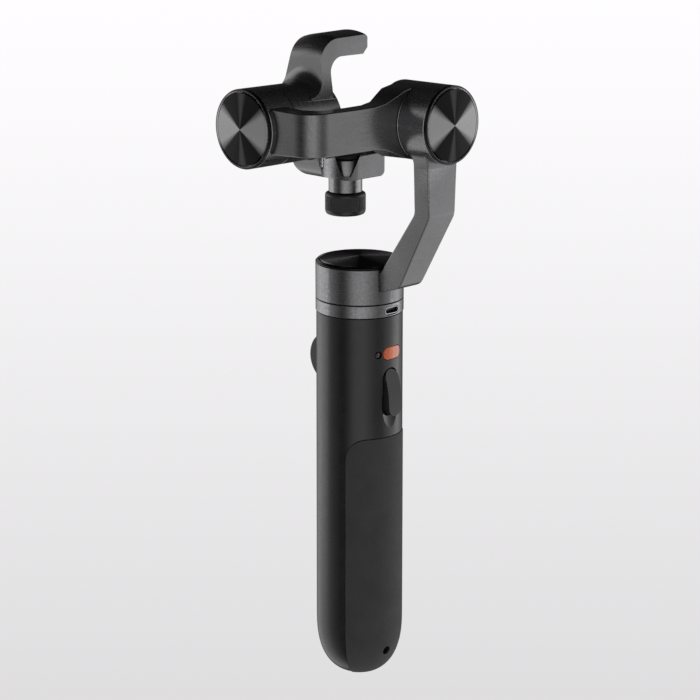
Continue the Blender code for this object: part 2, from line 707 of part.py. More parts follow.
def arm_flare():
    """Fillets that widen the head of the bar to the roll motor's housing."""
    neck = arm_half_width(226 * MM)
    across = neck + ARM_FLARE_R
    drop = sqrt((MOTOR_R + ARM_FLARE_R) ** 2 - across ** 2)
    centre_z = AXIS_Z - drop
    turn = atan2(drop, across)
    right = arc((across, centre_z), ARM_FLARE_R, 180, 180 - degrees(turn), 5)
    left = [(-x, z) for x, z in reversed(right)]
    foot = 222 * MM
    half = arm_half_width(foot) - 0.05 * MM
    outline = [(half, foot)] + right + [(0.0, AXIS_Z - 2 * MM)] + left + [(-half, foot)]
    return prism("arm_flare", outline, "XZ", ARM_BACK_Y, ARM_FRONT_Y)


def build_pan_arm():
    can_profile = [
        (0.0, CAN[1]),
        (CAN_R, CAN[1]),
        (CAN_R, CAN[0]),
        (0.0, CAN[0]),
    ]
    arm = turned("pan_arm", can_profile, ARM_PAINT, steps=ROUND_STEPS)
    join(arm, as_cutter(arm_bar()), as_cutter(arm_flare()), as_cutter(motor_drum("roll_drum", "-Y")))
    can_cavity = [
        (0.0, 180.0 * MM),
        (2.3 * MM, 180.0 * MM),
        (2.3 * MM, 177.0 * MM),
        (5.0 * MM, 177.0 * MM),
        (5.0 * MM, 178.4 * MM),
        (16.6 * MM, 178.4 * MM),
        (16.6 * MM, CAN[0] - 1 * MM),
        (0.0, CAN[0] - 1 * MM),
    ]
    cavity = turned("can_cavity", can_cavity, steps=ROUND_STEPS)
    cut(arm, as_cutter(cavity), as_cutter(motor_cavity("roll_cavity", "-Y")))
    motor_fittings("roll", "-Y")


# ---------------------------------------------------------------- roll bar
def build_roll_bar():
    """Bent bar from the roll hub round to the tilt motor's housing, lofted through upright sections."""
    sections = [                      # outer x, y; inner x, y; half height
        (-61.6, -11.0, -52.6, -11.0, 8.9),
        (-61.5, -15.6, -52.6, -15.0, 8.6),
        (-60.9, -25.0, -51.9, -20.9, 8.3),
        (-60.0, -28.4, -50.9, -23.3, 8.3),
        (-58.0, -31.6, -49.2, -25.6, 8.3),
        (-55.2, -33.6, -47.2, -26.9, 8.3),
        (-51.5, -34.5, -45.0, -27.3, 8.3),
        (-37.5, -35.2, -37.5, -27.6, 8.3),
        (-28.0, -35.3, -28.0, -27.5, 8.4),
        (-22.0, -35.3, -22.4, -27.0, 9.2),
        (-16.5, -35.3, -18.0, -25.6, 11.1),
        (-11.0, -35.3, -13.0, -24.2, 13.3),
        (-5.0, -35.3, -6.0, -23.6, 14.4),
    ]
    shape = bmesh.new()
    loops = []
    for outer_x, outer_y, inner_x, inner_y, half in sections:
        corners = (
            (outer_x, outer_y, -half),
            (inner_x, inner_y, -half),
            (inner_x, inner_y, half),
            (outer_x, outer_y, half),
        )
        loops.append([shape.verts.new((x * MM, y * MM, AXIS_Z + z * MM)) for x, y, z in corners])
    for first, second in zip(loops, loops[1:]):
        for i in range(4):
            shape.faces.new((first[i], first[(i + 1) % 4], second[(i + 1) % 4], second[i]))
    shape.faces.new(loops[0])
    shape.faces.new(reversed(loops[-1]))
    face_outwards(shape)
    mesh = bpy.data.meshes.new("roll_bar")
    shape.to_mesh(mesh)
    shape.free()
    bar = add_object("roll_bar", mesh, ARM_PAINT)
    soften(bar, 0.7 * MM, segments=1, angle=radians(60))
    hub = motor_bell("roll_hub", None, "-Y", ROLL_HUB_LENGTH)
    join(bar, as_cutter(hub), as_cutter(motor_drum("tilt_drum", "-X")))
    cut(bar, as_cutter(motor_cavity("tilt_cavity", "-X")))
    motor_fittings("tilt", "-X")


# ---------------------------------------------------------------- camera clamp
def hook_section(share):
    """Side outline of the hook at a share (-1 to 1) of its half width; its root rests on the hub."""
    back_r = 9.8 * MM
    inner_r = 6.4 * MM
    lift = HOOK_CROWN * (1 - share ** 2)
    hub_top = AXIS_Z + sqrt(MOTOR_R ** 2 - (share * 11.2 * MM) ** 2) - 0.12 * MM
    outline = [(HOOK_BACK_X - HOOK_ROOT_R, HOOK_FOOT_Z)]
    outline += arc((HOOK_BACK_X - HOOK_ROOT_R, hub_top + HOOK_ROOT_R), HOOK_ROOT_R, 270, 360, 5)
    for x, z in arc((HOOK_BACK_X + back_r, HOOK_TOP_Z - back_r), back_r, 180, 90, 8):
        outline.append((x, z + lift * ((z - HOOK_TOP_Z + back_r) / back_r) ** 2))
    outline += [
        (HOOK_TIP_X - 1.0 * MM, HOOK_TOP_Z + 0.4 * MM + lift),
        (HOOK_TIP_X, HOOK_TOP_Z - 0.6 * MM + lift),
        (HOOK_TIP_X, 269.8 * MM),
        (HOOK_TIP_X - 2.5 * MM, HOOK_UNDER_Z),
    ]
    outline += arc((HOOK_INNER_X + inner_r, HOOK_UNDER_Z - inner_r), inner_r, 90, 180, 6)
    outline += [(HOOK_INNER_X, z * MM) for z in (258.0, 255.0, 252.0, 249.0)]
    outline.append((HOOK_INNER_X, HOOK_FOOT_Z))
    return outline


def hook_block():
    """The hook as a skin through its side outlines, leaning and narrowing towards its finger."""
    slices = 8
    heights, halves = zip(*HOOK_WIDTHS)
    shape = bmesh.new()
    loops = []
    for i in range(slices + 1):
        share = -cos(pi * i / slices)
        loop = []
        for x, z in hook_section(share):
            half = np.interp(z / MM, heights, halves) * MM
            lean = HOOK_LEAN * np.interp(z, HOOK_LEAN_Z, (0.0, 1.0))
            loop.append(shape.verts.new((x + lean, share * half, z)))
        loops.append(loop)
    count = len(loops[0])
    for first, second in zip(loops, loops[1:]):
        for i in range(count):
            shape.faces.new((first[i], first[(i + 1) % count], second[(i + 1) % count], second[i]))
    shape.faces.new(loops[0])
    shape.faces.new(reversed(loops[-1]))
    face_outwards(shape)
    mesh = bpy.data.meshes.new("hook")
    shape.to_mesh(mesh)
    shape.free()
    hook = add_object("hook", mesh, None)
    soften(hook, 0.9 * MM, segments=2, angle=radians(55))
    return hook


def build_camera_holder():
    length = HOLDER_END_X - TILT_SEAM_X
    holder = motor_bell("camera_holder", ARM_PAINT, "-X", length)
    join(holder, as_cutter(hook_block()))
    pocket_low = (-30.4 * MM, -7.7 * MM, AXIS_Z - 6 * MM)
    sensor_pocket = box("sensor_pocket", pocket_low, (HOLDER_END_X + 1 * MM, 7.7 * MM, AXIS_Z + 6 * MM))
    pad_low = (-19.5 * MM, -6.6 * MM, HOOK_UNDER_Z - 0.1 * MM)
    pad_high = (-9.4 * MM, 6.6 * MM, HOOK_UNDER_Z + 1.0 * MM)
    pad_seat = box(
        "pad_seat",
        (pad_low[0] - GAP, pad_low[1] - GAP, HOOK_UNDER_Z - 3 * MM),
        (pad_high[0] + GAP, pad_high[1] + GAP, pad_high[2] + GAP),
    )
    cut(holder, as_cutter(sensor_pocket), as_cutter(pad_seat))
    board_low = (-28.6 * MM, -6.4 * MM, AXIS_Z - 5.4 * MM)
    box("motion_sensor_board", board_low, (-27.4 * MM, 6.4 * MM, AXIS_Z + 5.4 * MM), BOARD_GREEN)
    rod("back_pad", 12.4 * MM, -0.9 * MM, 0.0, PAD_RUBBER, "-X", (HOLDER_END_X + GAP, 0, AXIS_Z), 40)
    box("hook_pad", pad_low, pad_high, PAD_RUBBER)
    build_lower_jaw(holder)


def jaw_outline():
    back_r = 8.4 * MM
    tip_r = 2.4 * MM
    back = [(JAW_BACK_X, 236 * MM)]
    back += arc((JAW_BACK_X + back_r, 227.7 * MM), back_r, 180, 256, 7)
    base = [(-14.0 * MM, JAW_BASE_Z + 0.1 * MM)]
    base += arc((JAW_TIP_X - tip_r, JAW_BASE_Z + tip_r), tip_r, 270, 360, 4)
    tip = arc((JAW_TIP_X - tip_r, JAW_TOP_Z - tip_r), tip_r, 0, 90, 4)
    return back + base + tip + [(JAW_INNER_X, JAW_TOP_Z), (JAW_INNER_X, 236 * MM)]


def jaw_notch(side):
    """Funnel that opens the bore into the hollow at the jaw's side."""
    low = JAW_BASE_Z + 1.6 * MM
    profile = [(0.0, 235 * MM), (6.9 * MM, 235 * MM), (6.9 * MM, JAW_TOP_Z), (3.7 * MM, low), (0.0, low)]
    return turned("jaw_notch", profile, at=(-12.5 * MM, side * 3.0 * MM, 0), steps=32)


def build_lower_jaw(holder):
    jaw = prism("lower_jaw", jaw_outline(), "XZ", -JAW_HALF_WIDTH, JAW_HALF_WIDTH, ARM_PAINT)
    soften(jaw, 1.1 * MM, segments=2, angle=radians(50))
    seat = rod("jaw_seat", MOTOR_R + GAP, -30 * MM, 1 * MM, None, "-X", motor_frame("-X"), ROUND_STEPS)
    barrel_bore = rod("barrel_bore", BARREL_R + GAP, 205 * MM, 235 * MM, at=(SCREW_X, 0, 0), steps=40)
    cut(jaw, as_cutter(seat), as_cutter(barrel_bore))
    for side in (-1, 1):
        waist = rod("jaw_waist", WAIST_R, 205 * MM, 229 * MM, at=(WAIST_X, side * WAIST_Y, 0), steps=64)
        cut(jaw, as_cutter(waist), as_cutter(jaw_notch(side)))
    screw_x = (JAW_BACK_X + JAW_INNER_X) / 2
    head_low = 231.3 * MM
    head_high = 233.3 * MM
    shank_low = 224.0 * MM
    for name, y in (("jaw_screw_rear", -5.5 * MM), ("jaw_screw_front", 5.5 * MM)):
        at = (screw_x, y, 0.0)
        clearance = [
            (0.0, 237.0 * MM),
            (2.1 * MM, 237.0 * MM),
            (2.1 * MM, head_low - GAP),
            (1.4 * MM, head_low - GAP),
            (1.4 * MM, shank_low - GAP),
            (0.0, shank_low - GAP),
        ]
        hole = turned(name + "_hole", clearance, at=at, steps=16)
        cut(jaw, as_cutter(hole))
        cut(holder, hole)
        screw = [
            (0.0, head_high),
            (1.8 * MM, head_high),
            (1.8 * MM, head_low),
            (1.1 * MM, head_low),
            (1.1 * MM, shank_low),
            (0.0, shank_low),
        ]
        turned(name, screw, STEEL, at=at, steps=16)
    box(
        "jaw_lip_pad",
        (1.1 * MM, -6.9 * MM, JAW_TOP_Z + GAP),
        (JAW_TIP_X - 1.8 * MM, 6.9 * MM, JAW_TOP_Z + 0.9 * MM),
        PAD_RUBBER,
    )


def build_clamp_screw():
    pad_low = 225.2 * MM
    rod("clamp_pad", 6.0 * MM, pad_low, 226.8 * MM, PAD_RUBBER, at=(SCREW_X, 0, 0), steps=32)
    chamfer = 0.6 * MM
    barrel = [
        (0.0, pad_low - GAP),
        (BARREL_R - chamfer, pad_low - GAP),
        (BARREL_R, pad_low - GAP - chamfer),
        (BARREL_R, KNOB[1] + GAP),
        (4.0 * MM, KNOB[1] + GAP),
        (4.0 * MM, KNOB[0] + 3 * MM),
        (0.0, KNOB[0] + 3 * MM),
    ]
    turned("clamp_barrel", barrel, ANODISED, at=(SCREW_X, 0, 0), steps=40)
    socket_r = 4.0 * MM + GAP
    socket_floor = KNOB[0] + 3 * MM - GAP
    knob = [
        (0.0, socket_floor),
        (socket_r, socket_floor),
        (socket_r, KNOB[1]),
        (KNOB_R - 1.0 * MM, KNOB[1]),
        (KNOB_R, KNOB[1] - 1.0 * MM),
        (KNOB_R, KNOB[0] + 1.3 * MM),
        (KNOB_R - 1.3 * MM, KNOB[0]),
        (0.0, KNOB[0]),
    ]
    turned("clamp_knob", knob, KNOB_BLACK, at=(SCREW_X, 0, 0), steps=40)


build_handle()
build_controls()
build_handle_inside()
build_collar()
build_pan_motor()
build_pan_arm()
build_roll_bar()
build_camera_holder()
build_clamp_screw()
smooth_round_pieces()
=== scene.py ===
"""Looks of a handheld camera gimbal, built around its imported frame.

Metres, +Z up; the held camera looks along +Y.
"""

import json
from math import atan2, cos, hypot, pi, radians, sin, sqrt

import bmesh
import bpy
import numpy as np
from mathutils import Euler, Matrix, Vector


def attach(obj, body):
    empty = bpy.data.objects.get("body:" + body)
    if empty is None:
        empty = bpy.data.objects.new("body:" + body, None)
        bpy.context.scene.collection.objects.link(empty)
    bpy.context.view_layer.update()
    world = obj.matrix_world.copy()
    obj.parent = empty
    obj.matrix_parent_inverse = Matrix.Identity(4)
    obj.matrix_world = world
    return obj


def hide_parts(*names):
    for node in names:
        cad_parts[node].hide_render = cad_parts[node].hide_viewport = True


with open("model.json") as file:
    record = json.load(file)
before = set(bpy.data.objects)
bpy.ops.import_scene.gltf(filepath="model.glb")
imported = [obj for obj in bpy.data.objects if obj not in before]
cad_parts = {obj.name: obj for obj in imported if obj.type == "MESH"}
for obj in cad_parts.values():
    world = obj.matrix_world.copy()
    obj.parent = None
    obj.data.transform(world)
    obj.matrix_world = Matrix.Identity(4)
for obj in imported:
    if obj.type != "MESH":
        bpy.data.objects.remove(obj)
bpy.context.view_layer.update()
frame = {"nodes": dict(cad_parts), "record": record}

MM = 0.001
GAP = 0.3 * MM              # clearance between pieces that touch
FINE = 160                  # steps of the large round pieces
ROUND = 96                  # steps of the smaller round pieces
TURNS = {"+Z": (0.0, 0.0, 0.0), "-Y": (pi / 2, 0.0, 0.0), "-X": (0.0, -pi / 2, 0.0)}
SHARP = radians(34)         # edges sharper than this stay crisp

HANDLE_TOP = 160.5 * MM
HANDLE_R_TOP = 18.0 * MM
HANDLE_R_LOW = 18.4 * MM
HANDLE_WALL = 2.0 * MM
DOME_HEIGHT = 27.0 * MM
DOME_POWER = 2.6
FOOT_R = 7.5 * MM

PAD_HALF_ANGLE = radians(64.0)
PAD_TOP = 109.0 * MM
PAD_CORNER_R = 9.0 * MM
PAD_RISE = 0.25 * MM
PAD_DEPTH = 0.5 * MM
PAD_FOOT = 0.9 * MM

LAMP_Z = 145.0 * MM
LAMP_SIZE = (10.4 * MM, 5.0 * MM)
LAMP_X = 1.2 * MM
DIM_LAMP_X = -6.2 * MM
DIM_LAMP_R = 1.3 * MM
ROCKER_Z = 128.4 * MM
ROCKER_SIZE = (7.6 * MM, 19.6 * MM)
ROCKER_PIN = (-13.4 * MM, ROCKER_Z)
ROCKER_PIN_R = 0.8 * MM
ROCKER_CROWN = (20.0 * MM, 122.0 * MM, 41.0 * MM)
SCOOP_CENTRE = (0.0, -23.9 * MM, 124.0 * MM)
SCOOP_RADII = (9.5 * MM, 7.3 * MM, 18.5 * MM)
TRIGGER_CENTRE = (14.7 * MM, 137.3 * MM)
TRIGGER_R = 10.8 * MM
TRIGGER_HALF_WIDTH = 4.3 * MM
TRIGGER_BACK = 9.0 * MM
LANYARD_HOLES = ((-3.0, 12.6 * MM), (34.0, 11.6 * MM))
LANYARD_R = 1.7 * MM

COLLAR = (160.8 * MM, 166.0 * MM)
COLLAR_R = 18.3 * MM
SOCKET_X = 0.7 * MM
SOCKET_Z = 163.1 * MM
SOCKET_SIZE = (8.0 * MM, 6.4 * MM, 3.0 * MM)
SOCKET_FRONT = -17.9 * MM
CAN = (166.3 * MM, 180.9 * MM)
CAN_R = 18.3 * MM
PAN_RING = (181.2 * MM, 182.3 * MM)

AXIS_Z = 242.5 * MM
MOTOR_R = 15.4 * MM
MOTOR_BORE = 13.8 * MM
MOTOR_LENGTH = 14.65 * MM
BULKHEAD = (11.4 * MM, 13.2 * MM)
POST_R = 5.2 * MM
POST_BORE = 4.3 * MM
POST_TIP = 1.6 * MM
BELL_R = 13.5 * MM
BELL_BORE = 12.3 * MM
BELL_TOP = 9.5 * MM
SHAFT_R = 1.5 * MM
SHAFT_POCKET = 6.3 * MM
ROLL_SEAM_Y = -35.65 * MM
TILT_SEAM_X = -49.55 * MM
ROLL_HUB_LENGTH = 12.9 * MM

HOLDER_END_X = -24.8 * MM
HOOK_BACK_X = -32.4 * MM
HOOK_INNER_X = -27.0 * MM
HOOK_TIP_X = -6.2 * MM
HOOK_TOP_Z = 274.4 * MM
HOOK_UNDER_Z = 267.3 * MM
HOOK_FOOT_Z = 246.0 * MM
HOOK_CROWN = 1.3 * MM
HOOK_LEAN = 1.7 * MM
HOOK_LEAN_Z = (252.0 * MM, 266.0 * MM)
HOOK_ROOT_R = 6.4 * MM
HOOK_WIDTHS = (             # height and half width, in millimetres
    (246.0, 12.8),
    (250.0, 12.6),
    (253.0, 11.9),
    (256.0, 11.1),
    (259.0, 10.2),
    (262.5, 9.3),
    (266.0, 8.75),
    (269.0, 8.6),
)
JAW_HALF_WIDTH = 8.25 * MM
JAW_BACK_X = -30.7 * MM
JAW_INNER_X = -25.4 * MM
JAW_TIP_X = 6.6 * MM
JAW_TOP_Z = 227.0 * MM
JAW_BASE_Z = 216.8 * MM
WAIST_R = 18.7 * MM
WAIST_X = -20.2 * MM
WAIST_Y = 23.55 * MM
SCREW_X = -8.3 * MM
BARREL_R = 6.85 * MM
KNOB_R = 8.3 * MM
KNOB = (202.1 * MM, 211.1 * MM)


# ---------------------------------------------------------------- materials
RANGE = ("From Min", "From Max", "To Min", "To Max")


def tone(colour, factor):
    """The colour made lighter or darker."""
    return tuple(min(value * factor, 1.0) for value in colour)


class Graph:
    """A node tree under construction."""

    def __init__(self, tree, place):
        self.tree = tree
        self.place = self.add("ShaderNodeTexCoord").outputs[place]

    def put(self, socket, value):
        """Give an input a link or a plain value."""
        if isinstance(value, bpy.types.NodeSocket):
            self.tree.links.new(value, socket)
        else:
            socket.default_value = value

    def add(self, kind, inputs=(), **settings):
        node = self.tree.nodes.new(kind)
        for key, value in settings.items():
            setattr(node, key, value)
        for key, value in dict(inputs).items():
            self.put(node.inputs[key], value)
        return node

    def math(self, operation, *values):
        return self.add("ShaderNodeMath", enumerate(values), operation=operation).outputs[0]

    def along(self, vector):
        """How far a point lies along a direction."""
        node = self.add("ShaderNodeVectorMath", {0: self.place, 1: vector}, operation="DOT_PRODUCT")
        return node.outputs["Value"]

    def remap(self, value, *limits, **settings):
        """Map a value from the first two limits to the last two."""
        inputs = {"Value": value, **dict(zip(RANGE, limits))}
        return self.add("ShaderNodeMapRange", inputs, **settings).outputs["Result"]


class Nodes(Graph):
    """Builds one procedural material."""

    def __init__(self, name):
        self.material = bpy.data.materials.new(name)
        self.material.use_nodes = True
        super().__init__(self.material.node_tree, "Object")
        self.shader = self.tree.nodes["Principled BSDF"]

    def noise(self, scale, detail=3.0, stretch=None):
        """Fractal noise; scale is in features per metre."""
        vector = self.place
        if stretch:
            vector = self.add("ShaderNodeMapping", {"Scale": stretch, "Vector": vector}).outputs["Vector"]
        inputs = {"Scale": scale, "Detail": detail, "Roughness": 0.55, "Vector": vector}
        return self.add("ShaderNodeTexNoise", inputs).outputs["Fac"]

    def grooves(self, per_metre, detail):
        """Concentric lathe grooves round the piece's own Z axis."""
        reach = self.math("MULTIPLY", self.radius(), per_metre)
        inputs = {"Scale": 1.0, "Detail": detail, "W": reach}
        return self.add("ShaderNodeTexNoise", inputs, noise_dimensions="1D").outputs["Fac"]

    def cells(self, scale):
        return self.add("ShaderNodeTexVoronoi", {"Scale": scale, "Vector": self.place}).outputs["Distance"]

    def blend(self, factor, first, second):
        a, b = [(*value, 1.0) if isinstance(value, tuple) else value for value in (first, second)]
        node = self.add("ShaderNodeMix", {"Factor": factor, "A": a, "B": b}, data_type="RGBA")
        return node.outputs["Result"]

    def bump(self, height, distance):
        inputs = {"Strength": 1.0, "Distance": distance, "Height": height}
        return self.add("ShaderNodeBump", inputs).outputs["Normal"]

    def radius(self):
        """Distance from the piece's own Z axis, in metres."""
        flat = self.add("ShaderNodeVectorMath", {0: self.place, 1: (1.0, 1.0, 0.0)}, operation="MULTIPLY")
        return self.add("ShaderNodeVectorMath", {0: flat.outputs[0]}, operation="LENGTH").outputs["Value"]

    def worn_edge(self, colour, wear):
        """Lighter colour where the surface is convex and thin from handling."""
        edge = self.remap(self.add("ShaderNodeNewGeometry").outputs["Pointiness"], 0.52, 0.62, 0.0, 1.0)
        patch = self.remap(self.noise(900.0), 0.35, 0.7, 0.2, 1.0)
        return self.blend(self.math("MULTIPLY", edge, patch), colour, wear)

    def set(self, **values):
        """Give the shader's own inputs their values; a colour is three numbers."""
        for key, value in values.items():
            full = (*value, 1.0) if isinstance(value, tuple) else value
            self.put(self.shader.inputs[key.replace("_", " ")], full)
        return self.material


def moulded(name, colour, roughness, grain, depth, wear=None, specular=0.5, sheen=0.0):
    """Moulded plastic or rubber: fine grain in relief, slight cloudiness, uneven gloss."""
    n = Nodes(name)
    cloud = n.noise(70.0, 4.0)
    base = n.blend(n.remap(cloud, 0.3, 0.7, 0.0, 1.0), tone(colour, 0.86), tone(colour, 1.16))
    speck = n.remap(n.noise(grain, 2.0), 0.3, 0.75, 0.0, 1.0)
    base = n.blend(n.math("MULTIPLY", speck, 0.35), base, tone(colour, 1.35))
    if wear:
        base = n.worn_edge(base, wear)
    gloss = n.remap(n.noise(240.0, 5.0), 0.25, 0.75, roughness - 0.05, roughness + 0.06)
    relief = n.bump(n.noise(grain, 2.0), depth)
    n.set(Specular_IOR_Level=specular, Sheen_Weight=sheen)
    return n.set(Base_Color=base, Roughness=gloss, Normal=relief)


def blasted(name, colour, roughness, metallic, wear):
    """Bead-blasted and anodised or painted metal: tiny pits, faint drag marks, lighter worn edges."""
    n = Nodes(name)
    grain, depth = 6000.0, 0.003 * MM
    cloud = n.noise(55.0, 4.0)
    base = n.blend(n.remap(cloud, 0.3, 0.7, 0.0, 1.0), tone(colour, 0.9), tone(colour, 1.12))
    pits = n.remap(n.cells(grain), 0.0, 0.55, 0.0, 1.0)
    base = n.blend(n.math("MULTIPLY", pits, 0.18), base, tone(colour, 1.25))
    base = n.worn_edge(base, wear)
    drag = n.noise(130.0, 5.0, stretch=(1.0, 1.0, 14.0))
    gloss = n.remap(drag, 0.3, 0.7, roughness - 0.05, roughness + 0.06)
    relief = n.bump(n.noise(grain, 2.0), depth)
    n.set(Metallic=metallic)
    return n.set(Base_Color=base, Roughness=gloss, Normal=relief)


def spun(name, colour, roughness, anisotropy):
    """Metal turned on a lathe: grooves round its own Z axis, with a painted bow-tie reflection: painted
    highlight wedges along X, painted dark wedges fanning from the centre along Y.
    """
    n = Nodes(name)
    groove = n.grooves(5200.0, 3.0)
    base = n.blend(n.remap(groove, 0.3, 0.7, 0.0, 1.0), tone(colour, 0.78), tone(colour, 1.2))
    split = n.add("ShaderNodeSeparateXYZ", {"Vector": n.place})
    across = n.math("MULTIPLY", split.outputs["X"], split.outputs["X"])
    along = n.math("MULTIPLY", split.outputs["Y"], split.outputs["Y"])
    radius = n.radius()
    # painted reflection: colour set by angle round the axis, light along X and near black along Y, stands in
    # for the lathe's bow-tie highlight
    fan = n.math("DIVIDE", n.math("SUBTRACT", across, along), n.math("MULTIPLY", radius, radius))
    painted_sheen_wedge = n.remap(fan, 0.1, 0.62, 0.0, 1.0)
    # a faint painted glint along Y inside the painted dark wedges
    painted_glint_streak = n.remap(fan, -0.93, -1.0, 0.0, 0.12)
    base = n.blend(n.math("MAXIMUM", painted_sheen_wedge, painted_glint_streak), tone(colour, 0.025), base)
    gloss = n.remap(groove, 0.25, 0.75, roughness - 0.05, roughness + 0.07)
    relief = n.bump(groove, 0.004 * MM)
    tangent = n.add("ShaderNodeTangent", direction_type="RADIAL", axis="Z")
    n.put(n.shader.inputs["Tangent"], tangent.outputs["Tangent"])
    n.set(Metallic=1.0, Anisotropic=anisotropy, Anisotropic_Rotation=0.25)
    return n.set(Base_Color=base, Roughness=gloss, Normal=relief)


def brushed(name, colour, roughness, metallic=1.0, scratch=500.0, stretch=(1.0, 1.0, 12.0)):
    """Plain worked metal: fine drag marks."""
    n = Nodes(name)
    marks = n.noise(scratch, 5.0, stretch=stretch)
    base = n.blend(n.remap(marks, 0.3, 0.7, 0.0, 1.0), tone(colour, 0.8), tone(colour, 1.2))
    gloss = n.remap(marks, 0.25, 0.75, roughness - 0.06, roughness + 0.08)
    n.set(Metallic=metallic)
    return n.set(Base_Color=base, Roughness=gloss, Normal=n.bump(marks, 0.004 * MM))


def cap_ring(name):
    """Black ring with a polished inner lip, round a motor's cap; its grooves follow the ring."""
    n = Nodes(name)
    radius = n.radius()
    groove = n.grooves(4000.0, 2.0)
    motor_lip = n.math("LESS_THAN", radius, 14.62 * MM)
    pan_lip = n.math("LESS_THAN", n.math("ABSOLUTE", n.math("SUBTRACT", radius, 16.84 * MM)), 0.2 * MM)
    lip = n.math("MAXIMUM", motor_lip, pan_lip)
    marks = n.remap(groove, 0.3, 0.7, 0.85, 1.15)
    base = n.blend(lip, (0.035, 0.035, 0.037), (0.40, 0.40, 0.405))
    rough = n.math("MULTIPLY", marks, 0.26)
    n.set(Metallic=1.0)
    return n.set(Base_Color=base, Roughness=rough, Normal=n.bump(groove, 0.002 * MM))


def lamp_glass(name):
    """Orange diffuser: small moulded prisms, brighter where the diode sits behind."""
    n = Nodes(name)
    prisms = n.cells(1500.0)
    base = n.blend(n.remap(prisms, 0.0, 0.6, 0.0, 1.0), (0.80, 0.15, 0.022), (0.34, 0.045, 0.008))
    place = n.add("ShaderNodeSeparateXYZ", {"Vector": n.place})
    aside = n.math("ABSOLUTE", n.math("SUBTRACT", place.outputs["X"], LAMP_X))
    glow = n.remap(aside, 0.0, 4.6 * MM, 1.0, 0.0)
    hot = n.blend(glow, (0.5, 0.06, 0.008), (1.0, 0.24, 0.04))
    n.set(Roughness=0.22, Emission_Color=hot, Emission_Strength=0.22, Coat_Weight=0.6, Coat_Roughness=0.05)
    return n.set(Base_Color=base, Normal=n.bump(prisms, 0.02 * MM))


def board_mask(name):
    """Circuit board: solder mask with traces and pads."""
    n = Nodes(name)
    inputs = {
        "Scale": 320.0,
        "Color1": (0.012, 0.09, 0.035, 1.0),
        "Color2": (0.02, 0.13, 0.05, 1.0),
        "Mortar": (0.35, 0.26, 0.08, 1.0),
        "Mortar Size": 0.03,
        "Vector": n.place,
    }
    brick = n.add("ShaderNodeTexBrick", inputs)
    relief = n.bump(brick.outputs["Fac"], 0.03 * MM)
    return n.set(Base_Color=brick.outputs["Color"], Roughness=0.4, Normal=relief)


LOOKS = {
    "shell": moulded("satin_shell", (0.020, 0.0195, 0.021), 0.26, 3200.0, 0.006 * MM, (0.05, 0.05, 0.052)),
    "grip": moulded("grip_rubber", (0.055, 0.054, 0.057), 0.72, 2200.0, 0.04 * MM, specular=0.3, sheen=0.05),
    "anodised": blasted("anodised_grey", (0.19, 0.19, 0.195), 0.24, 0.9, wear=(0.4, 0.4, 0.41)),
    "arm": blasted("arm_finish", (0.17, 0.168, 0.173), 0.26, 0.85, wear=(0.34, 0.34, 0.35)),
    # the caps' colour has a bow-tie reflection painted into it
    "spun": spun("spun_cap_painted_sheen", (0.30, 0.30, 0.305), 0.30, 0.92),
    "bright": cap_ring("cap_ring"),
    "knob": blasted("knob_black", (0.035, 0.034, 0.036), 0.36, 0.6, wear=(0.15, 0.15, 0.155)),
    "pad": moulded("pad_rubber", (0.016, 0.016, 0.017), 0.75, 2600.0, 0.04 * MM, specular=0.3),
    "lamp": lamp_glass("lamp_orange"),
    "lamp_dark": moulded("lamp_dark", (0.03, 0.008, 0.006), 0.12, 1500.0, 0.004 * MM),
    "steel": brushed("plain_steel", (0.5, 0.5, 0.52), 0.3),
    "brass": brushed("turned_brass", (0.62, 0.46, 0.2), 0.32),
    "magnet": brushed("magnet_plating", (0.35, 0.35, 0.37), 0.35),
    "winding": brushed("copper_winding", (0.6, 0.24, 0.09), 0.38, 0.85, 1800.0, (1.0, 1.0, 0.2)),
    "board": board_mask("board_green"),
    "cell": moulded("cell_wrap", (0.05, 0.16, 0.35), 0.35, 1800.0, 0.004 * MM),
    "inner": moulded("inner_plastic", (0.05, 0.05, 0.055), 0.55, 1800.0, 0.02 * MM),
}


# ---------------------------------------------------------------- modelling helpers
def add_object(name, data):
    piece = bpy.data.objects.new(name, data)
    bpy.context.scene.collection.objects.link(piece)
    return piece


def from_bmesh(name, shape):
    """Closed bmesh to a new object, its faces pointing outwards."""
    bmesh.ops.recalc_face_normals(shape, faces=shape.faces)
    if shape.calc_volume(signed=True) < 0:
        bmesh.ops.reverse_faces(shape, faces=shape.faces)
    mesh = bpy.data.meshes.new(name)
    shape.to_mesh(mesh)
    shape.free()
    return add_object(name, mesh)


def skin(shape, rings, steps):
    """Faces from each ring of vertices to the next; a ring of one vertex is a pole."""
    for first, second in zip(rings, rings[1:]):
        for i in range(steps):
            j = (i + 1) % steps
            if len(first) == 1 and len(second) == 1:
                break
            if len(first) == 1:
                shape.faces.new((first[0], second[i], second[j]))
            elif len(second) == 1:
                shape.faces.new((first[i], second[0], first[j]))
            else:
                shape.faces.new((first[i], second[i], second[j], first[j]))


def turned(name, profile, axis="+Z", at=(0.0, 0.0, 0.0), steps=FINE, loop=False):
    """A turned shape: (radius, height) points that run down the outer side."""
    shape = bmesh.new()
    rings = []
    for radius, height in profile:
        if radius < 1e-7:
            rings.append([shape.verts.new((0.0, 0.0, height))])
            continue
        turn = [2 * pi * i / steps for i in range(steps)]
        rings.append([shape.verts.new((radius * cos(a), radius * sin(a), height)) for a in turn])
    skin(shape, rings + rings[:1] if loop else rings, steps)
    piece = from_bmesh(name, shape)
    piece.rotation_euler = TURNS[axis]
    piece.location = at
    return piece


def ring(name, outer, inner, low, high, steps):
    profile = [(outer, high), (outer, low), (inner, low), (inner, high)]
    return turned(name, profile, steps=steps, loop=True)


